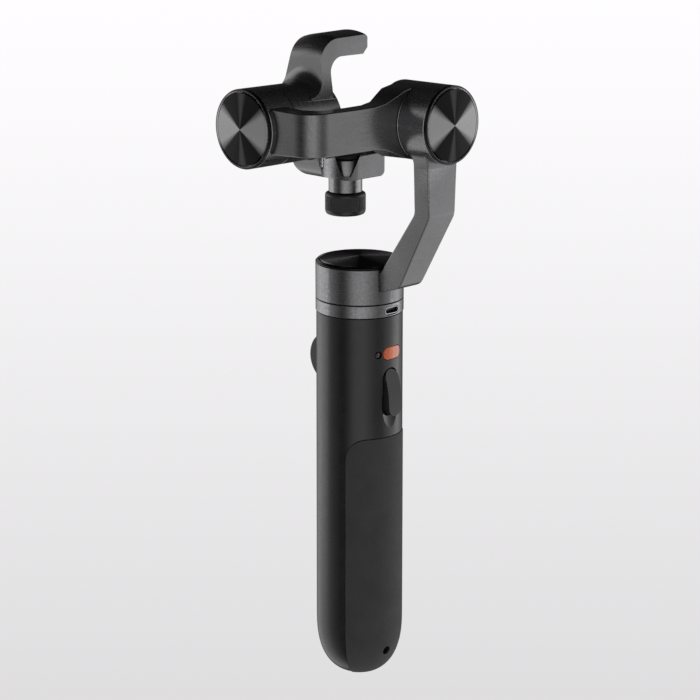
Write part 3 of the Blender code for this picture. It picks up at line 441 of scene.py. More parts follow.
def rod(name, radius, low, high, axis="+Z", at=(0.0, 0.0, 0.0), steps=ROUND):
    return turned(name, [(0.0, high), (radius, high), (radius, low), (0.0, low)], axis, at, steps)


def box(name, low, high):
    shape = bmesh.new()
    bmesh.ops.create_cube(shape, size=1.0)
    for corner in shape.verts:
        corner.co = Vector([(low[i] + high[i]) / 2 + corner.co[i] * (high[i] - low[i]) for i in range(3)])
    return from_bmesh(name, shape)


def prism(name, outline, plane, low, high):
    """A flat outline with a thickness along the third axis; plane is XZ, YZ or XY."""
    place = {
        "XZ": lambda u, v, w: (u, w, v),
        "YZ": lambda u, v, w: (w, u, v),
        "XY": lambda u, v, w: (u, v, w),
    }[plane]
    shape = bmesh.new()
    near = [shape.verts.new(place(u, v, low)) for u, v in outline]
    far = [shape.verts.new(place(u, v, high)) for u, v in outline]
    shape.faces.new(near)
    shape.faces.new(far)
    for i in range(len(outline)):
        j = (i + 1) % len(outline)
        shape.faces.new((near[i], near[j], far[j], far[i]))
    return from_bmesh(name, shape)


def loft(name, sections):
    """Skin through closed sections that all have the same number of points."""
    shape = bmesh.new()
    loops = [[shape.verts.new(point) for point in section] for section in sections]
    count = len(loops[0])
    for first, second in zip(loops, loops[1:]):
        for i in range(count):
            j = (i + 1) % count
            shape.faces.new((first[i], first[j], second[j], second[i]))
    shape.faces.new(loops[0])
    shape.faces.new(loops[-1])
    return from_bmesh(name, shape)


def arc(centre, radius, start, end, steps):
    """Points along an arc; angles in degrees."""
    angles = [radians(start + (end - start) * i / steps) for i in range(steps + 1)]
    return [(centre[0] + radius * cos(a), centre[1] + radius * sin(a)) for a in angles]


def stadium(width, height, centre):
    """Outline of an upright slot with round ends."""
    steps = 20
    radius = width / 2
    half = height / 2 - radius
    upper = arc((centre[0], centre[1] + half), radius, 0, 180, steps)
    lower = arc((centre[0], centre[1] - half), radius, 180, 360, steps)
    return upper + lower


def settle(piece):
    """Turn the piece's modifiers into plain mesh and drop the cutters that they used."""
    tools = [step.object for step in piece.modifiers if step.type == "BOOLEAN"]
    bpy.context.view_layer.update()
    seen = piece.evaluated_get(bpy.context.evaluated_depsgraph_get())
    mesh = bpy.data.meshes.new_from_object(seen)
    mesh.name = piece.name
    piece.modifiers.clear()
    piece.data = mesh
    for tool in set(tools):
        bpy.data.objects.remove(tool, do_unlink=True)
    return piece


def combine(piece, operation, *tools):
    for tool in tools:
        step = piece.modifiers.new(operation, "BOOLEAN")
        step.operation = operation
        step.solver = "EXACT"
        step.object = tool
    return settle(piece)


def cut(piece, *tools):
    return combine(piece, "DIFFERENCE", *tools)


def join(piece, *tools):
    return combine(piece, "UNION", *tools)


def soften(piece, width, segments=3, angle=30):
    """Round the piece's sharp edges."""
    step = piece.modifiers.new("Round", "BEVEL")
    step.width = width
    step.segments = segments
    step.limit_method = "ANGLE"
    step.angle_limit = radians(angle)
    step.use_clamp_overlap = True
    return settle(piece)


def show(piece, look, body, *nodes):
    """Shade, paint and hang a finished piece on its body in place of the CAD nodes."""
    mesh = piece.data
    mesh.materials.clear()
    mesh.materials.append(LOOKS[look])
    mesh.shade_smooth()
    mesh.set_sharp_from_angle(angle=SHARP)
    flat = piece.modifiers.new("Normals", "WEIGHTED_NORMAL")
    flat.keep_sharp = True
    settle(piece)
    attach(piece, body)
    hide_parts(*nodes)
    return piece


# ---------------------------------------------------------------- handle
def handle_radius(z):
    """Outer radius of the handle at height z: a slight taper over a rounded end."""
    pole = -DOME_HEIGHT * (1 - (1 - (FOOT_R / HANDLE_R_LOW) ** DOME_POWER) ** (1 / DOME_POWER))
    top_of_dome = pole + DOME_HEIGHT
    if z >= top_of_dome:
        share = (z - top_of_dome) / (HANDLE_TOP - top_of_dome)
        return HANDLE_R_LOW + (HANDLE_R_TOP - HANDLE_R_LOW) * share
    reach = (top_of_dome - z) / DOME_HEIGHT
    return HANDLE_R_LOW * (1 - reach ** DOME_POWER) ** (1 / DOME_POWER)


def off_handle(z, distance):
    """Radius and height of the point a distance out from the handle's surface at height z."""
    step = 0.05 * MM
    slope = (handle_radius(z + step) - handle_radius(z - step)) / (2 * step)
    length = hypot(1.0, slope)
    return handle_radius(z) + distance / length, z - distance * slope / length


def handle_profile():
    """Outer wall, foot and inner wall of the hollow handle."""
    rim = 0.35 * MM
    outer = [(HANDLE_R_TOP - rim, HANDLE_TOP), (HANDLE_R_TOP - 0.1 * MM, HANDLE_TOP - 0.12 * MM)]
    outer += [(HANDLE_R_TOP, HANDLE_TOP - rim)]
    heights = (150, 120, 90, 60, 40, 30, 27, 25, 23, 21, 19, 17, 15, 13.2, 11.5, 10, 8.6, 7.3, 6.1, 5.0)
    heights += (4.0, 3.15, 2.4, 1.75, 1.2, 0.75, 0.4, 0.15)
    outer += [(handle_radius(z * MM), z * MM) for z in heights]
    outer += [(FOOT_R, 0.0)]
    bush = [(5.0 * MM + GAP, 0.0), (5.0 * MM + GAP, 10.0 * MM), (8.0 * MM, 10.0 * MM), (8.0 * MM, 2.6 * MM)]
    inner = [(handle_radius(z * MM) - HANDLE_WALL, z * MM) for z in (4.0, 8.0, 15.0, 24.0)]
    inner += [(HANDLE_R_TOP - HANDLE_WALL, HANDLE_TOP)]
    return outer + bush + inner


def pad_sheet(name, low, high, margin):
    """Curved slab over the back of the handle between two distances from its surface.

    Its upper corners are round.
    """
    columns, rows = 84, 96
    reach = PAD_HALF_ANGLE + margin / HANDLE_R_LOW
    half_width = reach * HANDLE_R_LOW
    corner = PAD_CORNER_R + margin
    shape = bmesh.new()
    skins = []
    for distance in (low, high):
        grid = []
        for i in range(columns + 1):
            even = 2 * i / columns - 1
            angle = reach * (0.55 * even + 0.45 * sin(pi / 2 * even))
            into_corner = max(0.0, abs(angle) * HANDLE_R_LOW - (half_width - corner))
            top = PAD_TOP + margin - (corner - sqrt(max(0.0, corner ** 2 - into_corner ** 2)))
            column = []
            for j in range(rows + 1):
                share = (j / rows) ** 1.7
                z = PAD_FOOT - margin + (top - PAD_FOOT + margin) * share
                radius, height = off_handle(z, distance)
                column.append(shape.verts.new((radius * sin(angle), -radius * cos(angle), height)))
            grid.append(column)
        skins.append(grid)
    for grid in skins:
        for i in range(columns):
            for j in range(rows):
                shape.faces.new((grid[i][j], grid[i + 1][j], grid[i + 1][j + 1], grid[i][j + 1]))
    inner, outer = skins
    border = [(i, 0) for i in range(columns)] + [(columns, j) for j in range(rows)]
    border += [(i, rows) for i in range(columns, 0, -1)] + [(0, j) for j in range(rows, 0, -1)]
    for (i, j), (k, m) in zip(border, border[1:] + border[:1]):
        shape.faces.new((inner[i][j], inner[k][m], outer[k][m], outer[i][j]))
    return from_bmesh(name, shape)


def cord_hole(name, radius, angle, height):
    """Cutter for a lanyard hole, turned round the handle by an angle in degrees."""
    hole = rod(name, radius, 10 * MM, 24 * MM, "-Y", (0.0, 0.0, height), 48)
    hole.rotation_euler = (pi / 2, 0.0, radians(angle))
    return hole


def ball(name, centre, radii):
    shape = bmesh.new()
    bmesh.ops.create_uvsphere(shape, u_segments=96, v_segments=64, radius=1.0)
    for corner in shape.verts:
        corner.co = Vector([centre[i] + corner.co[i] * radii[i] for i in range(3)])
    return from_bmesh(name, shape)


def lamp_outline(margin):
    """Pill-shaped lamp window, lying along X."""
    tall = stadium(LAMP_SIZE[1] + 2 * margin, LAMP_SIZE[0] + 2 * margin, (0.0, 0.0))
    return [(LAMP_X - v, LAMP_Z + u) for u, v in tall]


def make_handle():
    shell = turned("handle_skin", handle_profile(), loop=True)
    lug_y = (-15.4 * MM, -11.2 * MM)
    lug_z = (ROCKER_Z - 2.2 * MM, ROCKER_Z + 2.2 * MM)
    for side in (-1, 1):
        edges = sorted((side * 4.9 * MM, side * 7.4 * MM))
        join(shell, box("lug", (edges[0], lug_y[0], lug_z[0]), (edges[1], lug_y[1], lug_z[1])))
    cut(shell, pad_sheet("grip_recess", -(PAD_DEPTH + GAP), 1.5 * MM, GAP))
    cut(shell, ball("thumb_scoop", SCOOP_CENTRE, SCOOP_RADII))
    slot_x = TRIGGER_HALF_WIDTH + 0.4 * MM
    slot_z = TRIGGER_R + 0.3 * MM
    low_z, high_z = TRIGGER_CENTRE[1] - slot_z, TRIGGER_CENTRE[1] + slot_z
    trigger_slot = box("trigger_slot", (-slot_x, 11 * MM, low_z), (slot_x, 22 * MM, high_z))
    lamp_hole = prism("lamp_hole", lamp_outline(GAP), "XZ", -21 * MM, -14 * MM)
    dim_hole = rod("dim_hole", DIM_LAMP_R + GAP, 14 * MM, 21 * MM, "-Y", (DIM_LAMP_X, 0, LAMP_Z), 32)
    opening = stadium(ROCKER_SIZE[0] + 0.8 * MM, ROCKER_SIZE[1] + 1.4 * MM, (0.0, ROCKER_Z))
    rocker_hole = prism("rocker_hole", opening, "XZ", -22 * MM, -15.2 * MM)
    pin_hole = rod("pin_hole", ROCKER_PIN_R + GAP, -8 * MM, 8 * MM, "-X", (0, *ROCKER_PIN), 24)
    cut(shell, trigger_slot, lamp_hole, dim_hole, rocker_hole, pin_hole)
    cut(shell, *[cord_hole(f"hole_{i}", LANYARD_R, a, z) for i, (a, z) in enumerate(LANYARD_HOLES)])
    show(shell, "shell", "handle", "handle_shell")

    pad = pad_sheet("grip_pad_skin", -PAD_DEPTH, PAD_RISE, 0.0)
    soften(pad, 0.22 * MM, 3)
    cut(pad, *[cord_hole(f"pad_hole_{i}", LANYARD_R + GAP, a, z) for i, (a, z) in enumerate(LANYARD_HOLES)])
    show(pad, "grip", "handle", "grip_pad")

    bush_in, bush_out, bush_low, bush_high = 2.6 * MM, 5.0 * MM, GAP, 9.7 * MM
    pitch = 1.27 * MM
    profile = [(bush_out, bush_high), (bush_out, bush_low + 0.3 * MM), (bush_out - 0.3 * MM, bush_low)]
    profile += [(bush_in + 0.5 * MM, bush_low), (bush_in, bush_low + 0.5 * MM)]
    turns = int((bush_high - bush_low - 1.4 * MM) / (pitch / 2))
    for i in range(turns):
        depth = 0.0 if i % 2 else 0.35 * MM
        profile.append((bush_in + depth, bush_low + 0.8 * MM + i * pitch / 2))
    profile.append((bush_in, bush_high))
    show(turned("tripod_bush_skin", profile, steps=ROUND, loop=True), "brass", "handle", "tripod_bush")


def make_controls():
    lamp = prism("status_lens_skin", lamp_outline(0.0), "XZ", -18.3 * MM, -15.2 * MM)
    face_r = handle_radius(LAMP_Z) + 0.1 * MM
    cut(lamp, ring("lens_face", 30 * MM, face_r, LAMP_Z - 5 * MM, LAMP_Z + 5 * MM, steps=240))
    soften(lamp, 0.3 * MM, 3)
    show(lamp, "lamp", "handle", "status_lens")
    dim = [(0.0, 16.95 * MM), (0.6 * MM, 16.92 * MM), (1.05 * MM, 16.8 * MM), (DIM_LAMP_R, 16.5 * MM)]
    dim += [(DIM_LAMP_R, 14.4 * MM), (0.0, 14.4 * MM)]
    show(turned("dim_lens_skin", dim, "-Y", (DIM_LAMP_X, 0, LAMP_Z), 48), "lamp_dark", "handle", "dim_lens")

    outline = stadium(*ROCKER_SIZE, (0.0, ROCKER_Z))
    rocker = prism("mode_rocker_skin", outline, "XZ", -22 * MM, -15.6 * MM)
    crown_y, crown_z, crown_r = ROCKER_CROWN
    crown = rod("crown", crown_r, -8 * MM, 8 * MM, "-X", (0, crown_y, crown_z), 720)
    combine(rocker, "INTERSECT", crown)
    soften(rocker, 0.8 * MM, 4)
    web_z = (ROCKER_Z - 9 * MM, ROCKER_Z + 9 * MM)
    join(rocker, box("web", (-2.6 * MM, -16.5 * MM, web_z[0]), (2.6 * MM, -12.2 * MM, web_z[1])))
    cut(rocker, rod("bore", ROCKER_PIN_R + GAP, -5 * MM, 5 * MM, "-X", (0, *ROCKER_PIN), 32))
    show(rocker, "shell", "mode_rocker", "mode_rocker")

    rim = arc(TRIGGER_CENTRE, TRIGGER_R, -118, 118, 80)
    foot = [(TRIGGER_BACK, rim[-1][1]), (TRIGGER_BACK, rim[0][1])]
    trigger = prism("trigger_skin", rim + foot, "YZ", -TRIGGER_HALF_WIDTH, TRIGGER_HALF_WIDTH)
    soften(trigger, 1.0 * MM, 4)
    show(trigger, "shell", "trigger", "trigger")


def make_collar():
    post_r, bore, post_top = 7.3 * MM, 5.2 * MM, 175.9 * MM
    spigot_r = HANDLE_R_TOP - HANDLE_WALL - GAP
    edge = 0.18 * MM
    profile = [
        (COLLAR_R - edge, COLLAR[1]),
        (COLLAR_R, COLLAR[1] - edge),
        (COLLAR_R, COLLAR[0] + edge),
        (COLLAR_R - edge, COLLAR[0]),
        (spigot_r, COLLAR[0]),
        (spigot_r, 156.5 * MM),
        (14.2 * MM, 156.5 * MM),
        (14.2 * MM, 165.0 * MM),
        (bore, 165.0 * MM),
        (bore, post_top),
        (post_r, post_top),
        (post_r, COLLAR[1]),
    ]
    collar = turned("collar_skin", profile, loop=True)
    half_x, half_z = SOCKET_SIZE[0] / 2, SOCKET_SIZE[2] / 2
    back = SOCKET_FRONT + SOCKET_SIZE[1]

    def slot(name, grow, front, rear):
        outline = stadium(2 * (half_z + grow), 2 * (half_x + grow), (0.0, 0.0))
        return prism(name, [(SOCKET_X - v, SOCKET_Z + u) for u, v in outline], "XZ", front, rear)

    cut(collar, slot("socket_hole", GAP, -20 * MM, back + MM))
    show(collar, "anodised", "handle", "collar_ring")
    socket = slot("charging_socket_skin", 0.0, SOCKET_FRONT, back)
    wall = 0.4 * MM
    cut(socket, slot("socket_mouth", -wall, SOCKET_FRONT - MM, back - wall))
    show(soften(socket, 0.12 * MM, 2), "steel", "handle", "charging_socket")


# ---------------------------------------------------------------- motors
def motor_frame(axis):
    return (0.0, ROLL_SEAM_Y, AXIS_Z) if axis == "-Y" else (TILT_SEAM_X, 0.0, AXIS_Z)


def motor_drum(name, axis):
    edge = 0.2 * MM
    low, high = GAP / 2, BULKHEAD[1]
    profile = [(0.0, high), (MOTOR_R - edge, high), (MOTOR_R, high - edge)]
    profile += [(MOTOR_R, low + edge), (MOTOR_R - edge, low), (0.0, low)]
    return turned(name, profile, axis, motor_frame(axis))


def motor_cavity(name, axis):
    """All the empty space inside a motor housing, around its bearing post."""
    profile = [
        (0.0, BULKHEAD[1] + MM),
        (POST_BORE, BULKHEAD[1] + MM),
        (POST_BORE, POST_TIP),
        (POST_R, POST_TIP),
        (POST_R, BULKHEAD[0]),
        (MOTOR_BORE, BULKHEAD[0]),
        (MOTOR_BORE, -MM),
        (0.0, -MM),
    ]
    return turned(name, profile, axis, motor_frame(axis))


def motor_bell(name, axis, length):
    """Hub beyond the seam, with the bell that carries the magnets back into the housing."""
    edge = 0.2 * MM
    profile = [
        (0.0, -SHAFT_POCKET),
        (SHAFT_R + GAP, -SHAFT_POCKET),
        (SHAFT_R + GAP, 0.2 * MM),
        (BELL_BORE, 0.2 * MM),
        (BELL_BORE, BELL_TOP),
        (BELL_R, BELL_TOP),
        (BELL_R, -GAP / 2),
        (MOTOR_R - edge, -GAP / 2),
        (MOTOR_R, -GAP / 2 - edge),
        (MOTOR_R, 0.8 * MM - length),
        (MOTOR_R - 0.06 * MM, 0.5 * MM - length),
        (MOTOR_R - 0.23 * MM, 0.23 * MM - length),
        (MOTOR_R - 0.5 * MM, 0.06 * MM - length),
        (MOTOR_R - 0.8 * MM, -length),
        (0.0, -length),
    ]
    return turned(name, profile, axis, motor_frame(axis))


def spun_face(outer_r, rim, apex, seat):
    """Profile of a shallow cone with fine lathe grooves, down to its seat."""
    count = 26
    profile = [(0.0, apex)]
    for i in range(1, count):
        share = i / count
        groove = 0.006 * MM * (i % 2)
        profile.append((outer_r * share, apex + (rim - apex) * share - groove))
    edge = 0.25 * MM
    return profile + [(outer_r - edge, rim), (outer_r, rim - edge), (outer_r, seat), (0.0, seat)]


def motor_front(prefix, axis, body):
    at = motor_frame(axis)
    seat = BULKHEAD[1] + GAP
    cap_r = MOTOR_R - 1.4 * MM
    apex = MOTOR_LENGTH + 1.2 * MM
    cap = turned(prefix + "_cap_skin", spun_face(cap_r, MOTOR_LENGTH, apex, seat), axis, at)
    if axis == "-X":
        quarter = Matrix.Rotation(pi / 2, 3, "Z")       # turns the cap's painted bow-tie reflection so its painted dark wedges stand upright
        cap.rotation_euler = (Euler(TURNS[axis]).to_matrix() @ quarter).to_euler()
    show(cap, "spun", body, prefix + "_cap")
    edge = 0.5 * MM
    lip = 0.3 * MM
    profile = [
        (MOTOR_R - edge, MOTOR_LENGTH),
        (MOTOR_R - 0.15 * MM, MOTOR_LENGTH - 0.15 * MM),
        (MOTOR_R, MOTOR_LENGTH - edge),
        (MOTOR_R, seat),
        (cap_r + GAP, seat),
        (cap_r + GAP, MOTOR_LENGTH - lip),
        (cap_r + GAP + lip, MOTOR_LENGTH),
    ]
    surround = turned(prefix + "_cap_ring_skin", profile, axis, at, loop=True)
    show(surround, "bright", body, prefix + "_cap_ring")


# ---------------------------------------------------------------- pan arm
def arm_half_width(z):
    """The arm narrows from its head to its foot."""
    return 6.5 * MM + (z - 175 * MM) * 0.0363


def make_pan_arm():
    neck = arm_half_width(226 * MM)
    flare_r = 9.0 * MM
    across = neck + flare_r
    drop = sqrt((MOTOR_R + flare_r) ** 2 - across ** 2)
    centre_z = AXIS_Z - drop
    turn = atan2(drop, across)
    pairs = [                         # outer y, z; inner y, z
        (-14.5, 170.6, -14.5, 177.6),
        (-27.0, 174.5, -17.9, 179.9),
        (-28.0, 175.0, -18.4, 180.3),
        (-28.8, 175.6, -18.8, 180.8),
        (-29.6, 176.6, -19.3, 181.5),
        (-44.4, 204.0, -36.6, 205.6),
        (-44.9, 205.0, -37.0, 206.4),
        (-45.25, 206.1, -37.3, 207.3),
        (-45.4, 207.4, -37.4, 208.4),
        (-45.4, 216.0, -37.4, 216.0),
    ]
    sections = []
    for outer_y, outer_z, inner_y, inner_z in pairs:
        wide, narrow = arm_half_width(outer_z * MM), arm_half_width(inner_z * MM)
        sections.append([
            (-wide, outer_y * MM, outer_z * MM),
            (wide, outer_y * MM, outer_z * MM),
            (narrow, inner_y * MM, inner_z * MM),
            (-narrow, inner_y * MM, inner_z * MM),
        ])
    steps = 14
    heads = []
    for i in range(steps + 1):
        angle = turn * i / steps
        heads.append((neck + flare_r * (1 - cos(angle)), centre_z + flare_r * sin(angle)))
    heads.append((10.0 * MM, AXIS_Z - 2 * MM))
    corners = ((-1, -45.4), (1, -45.4), (1, -37.4), (-1, -37.4))
    for half, z in heads:
        sections.append([(x * half, y * MM, z) for x, y in corners])
    bar = soften(loft("arm_bar", sections), 0.55 * MM, 3, 60)

    edge = 0.2 * MM
    can = [(0.0, CAN[1]), (CAN_R - edge, CAN[1]), (CAN_R, CAN[1] - edge), (CAN_R, CAN[0] + edge)]
    can += [(CAN_R - edge, CAN[0]), (0.0, CAN[0])]
    arm = turned("pan_arm_skin", can)
    join(arm, bar)
    join(arm, motor_drum("roll_drum", "-Y"))
    hollow = [
        (0.0, 180.0 * MM),
        (2.3 * MM, 180.0 * MM),
        (2.3 * MM, 177.0 * MM),
        (5.0 * MM, 177.0 * MM),
        (5.0 * MM, 178.4 * MM),
        (16.6 * MM, 178.4 * MM),
        (16.6 * MM, CAN[0] - MM),
        (0.0, CAN[0] - MM),
    ]
    cut(arm, turned("can_hollow", hollow))
    cut(arm, motor_cavity("roll_cavity", "-Y"))
    show(arm, "arm", "pan_arm", "pan_arm")

    cap = turned("pan_cap_skin", spun_face(16.4 * MM, PAN_RING[1], 183.4 * MM, PAN_RING[0]))
    show(cap, "spun", "pan_arm", "pan_cap")
    profile = [
        (17.3 * MM, PAN_RING[1]),
        (CAN_R, PAN_RING[1] - 0.9 * MM),
        (CAN_R, PAN_RING[0]),
        (16.7 * MM, PAN_RING[0]),
        (16.7 * MM, PAN_RING[1] - 0.3 * MM),
        (17.0 * MM, PAN_RING[1]),
    ]
    show(turned("pan_cap_ring_skin", profile, loop=True), "bright", "pan_arm", "pan_cap_ring")
    motor_front("roll", "-Y", "pan_arm")


# ---------------------------------------------------------------- roll bar
def make_roll_bar():
    """Bent bar from the roll hub round to the tilt motor's housing, lofted through upright sections."""
    rows = [                          # outer x, y; inner x, y; half height
        (-61.6, -11.0, -52.6, -11.0, 8.9),
        (-61.5, -15.6, -52.6, -15.0, 8.6),
        (-60.9, -25.0, -51.9, -20.9, 8.3),
        (-60.0, -28.4, -50.9, -23.3, 8.3),
        (-58.0, -31.6, -49.2, -25.6, 8.3),
        (-55.2, -33.6, -47.2, -26.9, 8.3),
        (-51.5, -34.5, -45.0, -27.3, 8.3),
        (-37.5, -35.2, -37.5, -27.6, 8.3),
        (-28.0, -35.3, -28.0, -27.5, 8.4),
        (-22.0, -35.3, -22.4, -27.0, 9.2),
        (-16.5, -35.3, -18.0, -25.6, 11.1),
        (-11.0, -35.3, -13.0, -24.2, 13.3),
        (-5.0, -35.3, -6.0, -23.6, 14.4),
    ]
    sections = []
    for outer_x, outer_y, inner_x, inner_y, half in rows:
        corners = [(outer_x, outer_y, -half), (inner_x, inner_y, -half)]
        corners += [(inner_x, inner_y, half), (outer_x, outer_y, half)]
        sections.append([(x * MM, y * MM, AXIS_Z + z * MM) for x, y, z in corners])
    bar = soften(loft("roll_bar_skin", sections), 0.6 * MM, 3, 60)
    join(bar, motor_bell("roll_hub", "-Y", ROLL_HUB_LENGTH))
    join(bar, motor_drum("tilt_drum", "-X"))
    cut(bar, motor_cavity("tilt_cavity", "-X"))
    show(bar, "arm", "roll_bar", "roll_bar")
    motor_front("tilt", "-X", "roll_bar")


# ---------------------------------------------------------------- camera clamp
def hook_section(share):
    """Side outline of the hook at a share (-1 to 1) of its half width; its root rests on the hub."""
    back_r, inner_r = 9.8 * MM, 6.4 * MM
    lift = HOOK_CROWN * (1 - share ** 2)
    hub_top = AXIS_Z + sqrt(MOTOR_R ** 2 - (share * 11.2 * MM) ** 2) - 0.12 * MM
    outline = [(HOOK_BACK_X - HOOK_ROOT_R, HOOK_FOOT_Z)]
    outline += arc((HOOK_BACK_X - HOOK_ROOT_R, hub_top + HOOK_ROOT_R), HOOK_ROOT_R, 270, 360, 16)
    for x, z in arc((HOOK_BACK_X + back_r, HOOK_TOP_Z - back_r), back_r, 180, 90, 30):
        outline.append((x, z + lift * ((z - HOOK_TOP_Z + back_r) / back_r) ** 2))
    outline += [
        (HOOK_TIP_X - 1.0 * MM, HOOK_TOP_Z + 0.4 * MM + lift),
        (HOOK_TIP_X, HOOK_TOP_Z - 0.6 * MM + lift),
        (HOOK_TIP_X, 269.8 * MM),
        (HOOK_TIP_X - 2.5 * MM, HOOK_UNDER_Z),
    ]
    outline += arc((HOOK_INNER_X + inner_r, HOOK_UNDER_Z - inner_r), inner_r, 90, 180, 24)
    outline += [(HOOK_INNER_X, (258.0 - i) * MM) for i in range(0, 12)]
    outline.append((HOOK_INNER_X, HOOK_FOOT_Z))
    return outline


def hook_block():
    """The hook as a skin through its side outlines, leaning and narrowing towards its finger."""
    slices = 40
    heights, halves = zip(*HOOK_WIDTHS)
    sections = []
    for i in range(slices + 1):
        share = -cos(pi * i / slices)
        section = []
        for x, z in hook_section(share):
            half = np.interp(z / MM, heights, halves) * MM
            lean = HOOK_LEAN * np.interp(z, HOOK_LEAN_Z, (0.0, 1.0))
            section.append((x + lean, share * half, z))
        sections.append(section)
    return soften(loft("hook", sections), 0.8 * MM, 4, 55)


def pad_block(name, low, high):
    show(soften(box(name + "_skin", low, high), 0.2 * MM, 3), "pad", "camera_holder", name)


def make_camera_holder():
    holder = motor_bell("camera_holder_skin", "-X", HOLDER_END_X - TILT_SEAM_X)
    join(holder, hook_block())
    pad_low = (-19.5 * MM, -6.6 * MM, HOOK_UNDER_Z - 0.1 * MM)
    pad_high = (-9.4 * MM, 6.6 * MM, HOOK_UNDER_Z + 1.0 * MM)
    pocket_low = (-30.4 * MM, -7.7 * MM, AXIS_Z - 6 * MM)
    pocket = box("sensor_pocket", pocket_low, (HOLDER_END_X + MM, 7.7 * MM, AXIS_Z + 6 * MM))
    seat_low = (pad_low[0] - GAP, pad_low[1] - GAP, HOOK_UNDER_Z - 3 * MM)
    seat = box("pad_seat", seat_low, tuple(value + GAP for value in pad_high))
    cut(holder, pocket, seat)
    make_lower_jaw(holder)
    show(holder, "arm", "camera_holder", "camera_holder")
    pad = [(0.0, 0.0), (12.0 * MM, 0.0), (12.4 * MM, -0.25 * MM), (12.4 * MM, -0.9 * MM), (0.0, -0.9 * MM)]
    pad = turned("back_pad_skin", pad, "-X", (HOLDER_END_X + GAP, 0, AXIS_Z))
    show(pad, "pad", "camera_holder", "back_pad")
    pad_block("hook_pad", pad_low, pad_high)


def jaw_outline():
    back_r, tip_r = 8.4 * MM, 2.4 * MM
    back = [(JAW_BACK_X, 236 * MM)]
    back += arc((JAW_BACK_X + back_r, 227.7 * MM), back_r, 180, 256, 24)
    base = [(-14.0 * MM, JAW_BASE_Z + 0.1 * MM)]
    base += arc((JAW_TIP_X - tip_r, JAW_BASE_Z + tip_r), tip_r, 270, 360, 10)
    tip = arc((JAW_TIP_X - tip_r, JAW_TOP_Z - tip_r), tip_r, 0, 90, 10)
    return back + base + tip + [(JAW_INNER_X, JAW_TOP_Z), (JAW_INNER_X, 236 * MM)]


def make_lower_jaw(holder):
    jaw = prism("lower_jaw_skin", jaw_outline(), "XZ", -JAW_HALF_WIDTH, JAW_HALF_WIDTH)
    seat = rod("jaw_seat", MOTOR_R + GAP, -30 * MM, MM, "-X", motor_frame("-X"), FINE)
    notch_low, notch_high = JAW_BASE_Z + 1.6 * MM, 235 * MM
    notch_r, notch_foot_r = 6.9 * MM, 3.7 * MM
    notch = [(0.0, notch_high), (notch_r, notch_high), (notch_r, JAW_TOP_Z)]
    notch += [(notch_foot_r, notch_low), (0.0, notch_low)]
    waists, notches = [], []
    for side in (-1, 1):
        at = (WAIST_X, side * WAIST_Y, 0)
        waists.append(rod("waist", WAIST_R, 205 * MM, 229 * MM, at=at, steps=240))
    for side in (-1, 1):
        notches.append(turned("notch", notch, at=(-12.5 * MM, side * 3.0 * MM, 0)))
    soften(jaw, 1.0 * MM, 4, 50)
    cut(jaw, *waists)
    cut(jaw, seat, rod("barrel_bore", BARREL_R + GAP, 205 * MM, 235 * MM, at=(SCREW_X, 0, 0)))
    cut(jaw, *notches)
    screw_x = (JAW_BACK_X + JAW_INNER_X) / 2
    head_low, head_high, shank_low = 231.3 * MM, 233.3 * MM, 224.0 * MM
    hole = [
        (0.0, 237.0 * MM),
        (2.1 * MM, 237.0 * MM),
        (2.1 * MM, head_low - GAP),
        (1.4 * MM, head_low - GAP),
        (1.4 * MM, shank_low - GAP),
        (0.0, shank_low - GAP),
    ]
    screw = [
        (0.0, head_high),
        (1.55 * MM, head_high),
        (1.8 * MM, head_high - 0.25 * MM),
        (1.8 * MM, head_low),
        (1.1 * MM, head_low),
        (1.1 * MM, shank_low + 0.3 * MM),
        (0.8 * MM, shank_low),
        (0.0, shank_low),
    ]
    key = [(0.8 * MM * cos(radians(60 * i)), 0.8 * MM * sin(radians(60 * i))) for i in range(6)]
    for name, y in (("jaw_screw_rear", -5.5 * MM), ("jaw_screw_front", 5.5 * MM)):
        for piece in (jaw, holder):
            cut(piece, turned("screw_hole", hole, at=(screw_x, y, 0.0), steps=40))
        body = turned(name + "_skin", screw, at=(screw_x, y, 0.0), steps=48)
        socket = prism("key", [(screw_x + u, y + v) for u, v in key], "XY", 232.2 * MM, 234 * MM)
        show(cut(body, socket), "steel", "camera_holder", name)
    show(jaw, "arm", "camera_holder", "lower_jaw")
    low = (1.1 * MM, -6.9 * MM, JAW_TOP_Z + GAP)
    high = (JAW_TIP_X - 1.8 * MM, 6.9 * MM, JAW_TOP_Z + 0.9 * MM)
    pad_block("jaw_lip_pad", low, high)


def knurled(name, ribs, depth):
    """Knob with fine straight ribs between two plain rounded rims."""
    socket_r = 4.0 * MM + GAP
    floor = KNOB[0] + 3 * MM - GAP
    crown = ((1.1, 0.0, 0), (0.5, 0.15, 0), (0.12, 0.55, 0), (0.0, 1.05, 0), (0.0, 1.5, 1))
    base = ((0.0, 2.2, 1), (0.0, 1.75, 0), (0.18, 0.9, 0), (0.6, 0.3, 0), (1.3, 0.0, 0))
    rows = [(KNOB_R - inset * MM, KNOB[1] - drop * MM, ribbed) for inset, drop, ribbed in crown]
    rows += [(KNOB_R - inset * MM, KNOB[0] + rise * MM, ribbed) for inset, rise, ribbed in base]
    steps = ribs * 4
    shape = bmesh.new()
    rings = [[shape.verts.new((0.0, 0.0, floor))]]
    for radius, height, ribbed in [(socket_r, floor, 0), (socket_r, KNOB[1], 0)] + rows:
        loop = []
        for i in range(steps):
            angle = 2 * pi * i / steps
            reach = radius - depth * ribbed * (0.5 - 0.5 * cos(ribs * angle))
            loop.append(shape.verts.new((reach * cos(angle), reach * sin(angle), height)))
        rings.append(loop)
    rings.append([shape.verts.new((0.0, 0.0, KNOB[0]))])
    skin(shape, rings, steps)
    piece = from_bmesh(name, shape)
    piece.location = (SCREW_X, 0.0, 0.0)
    return piece


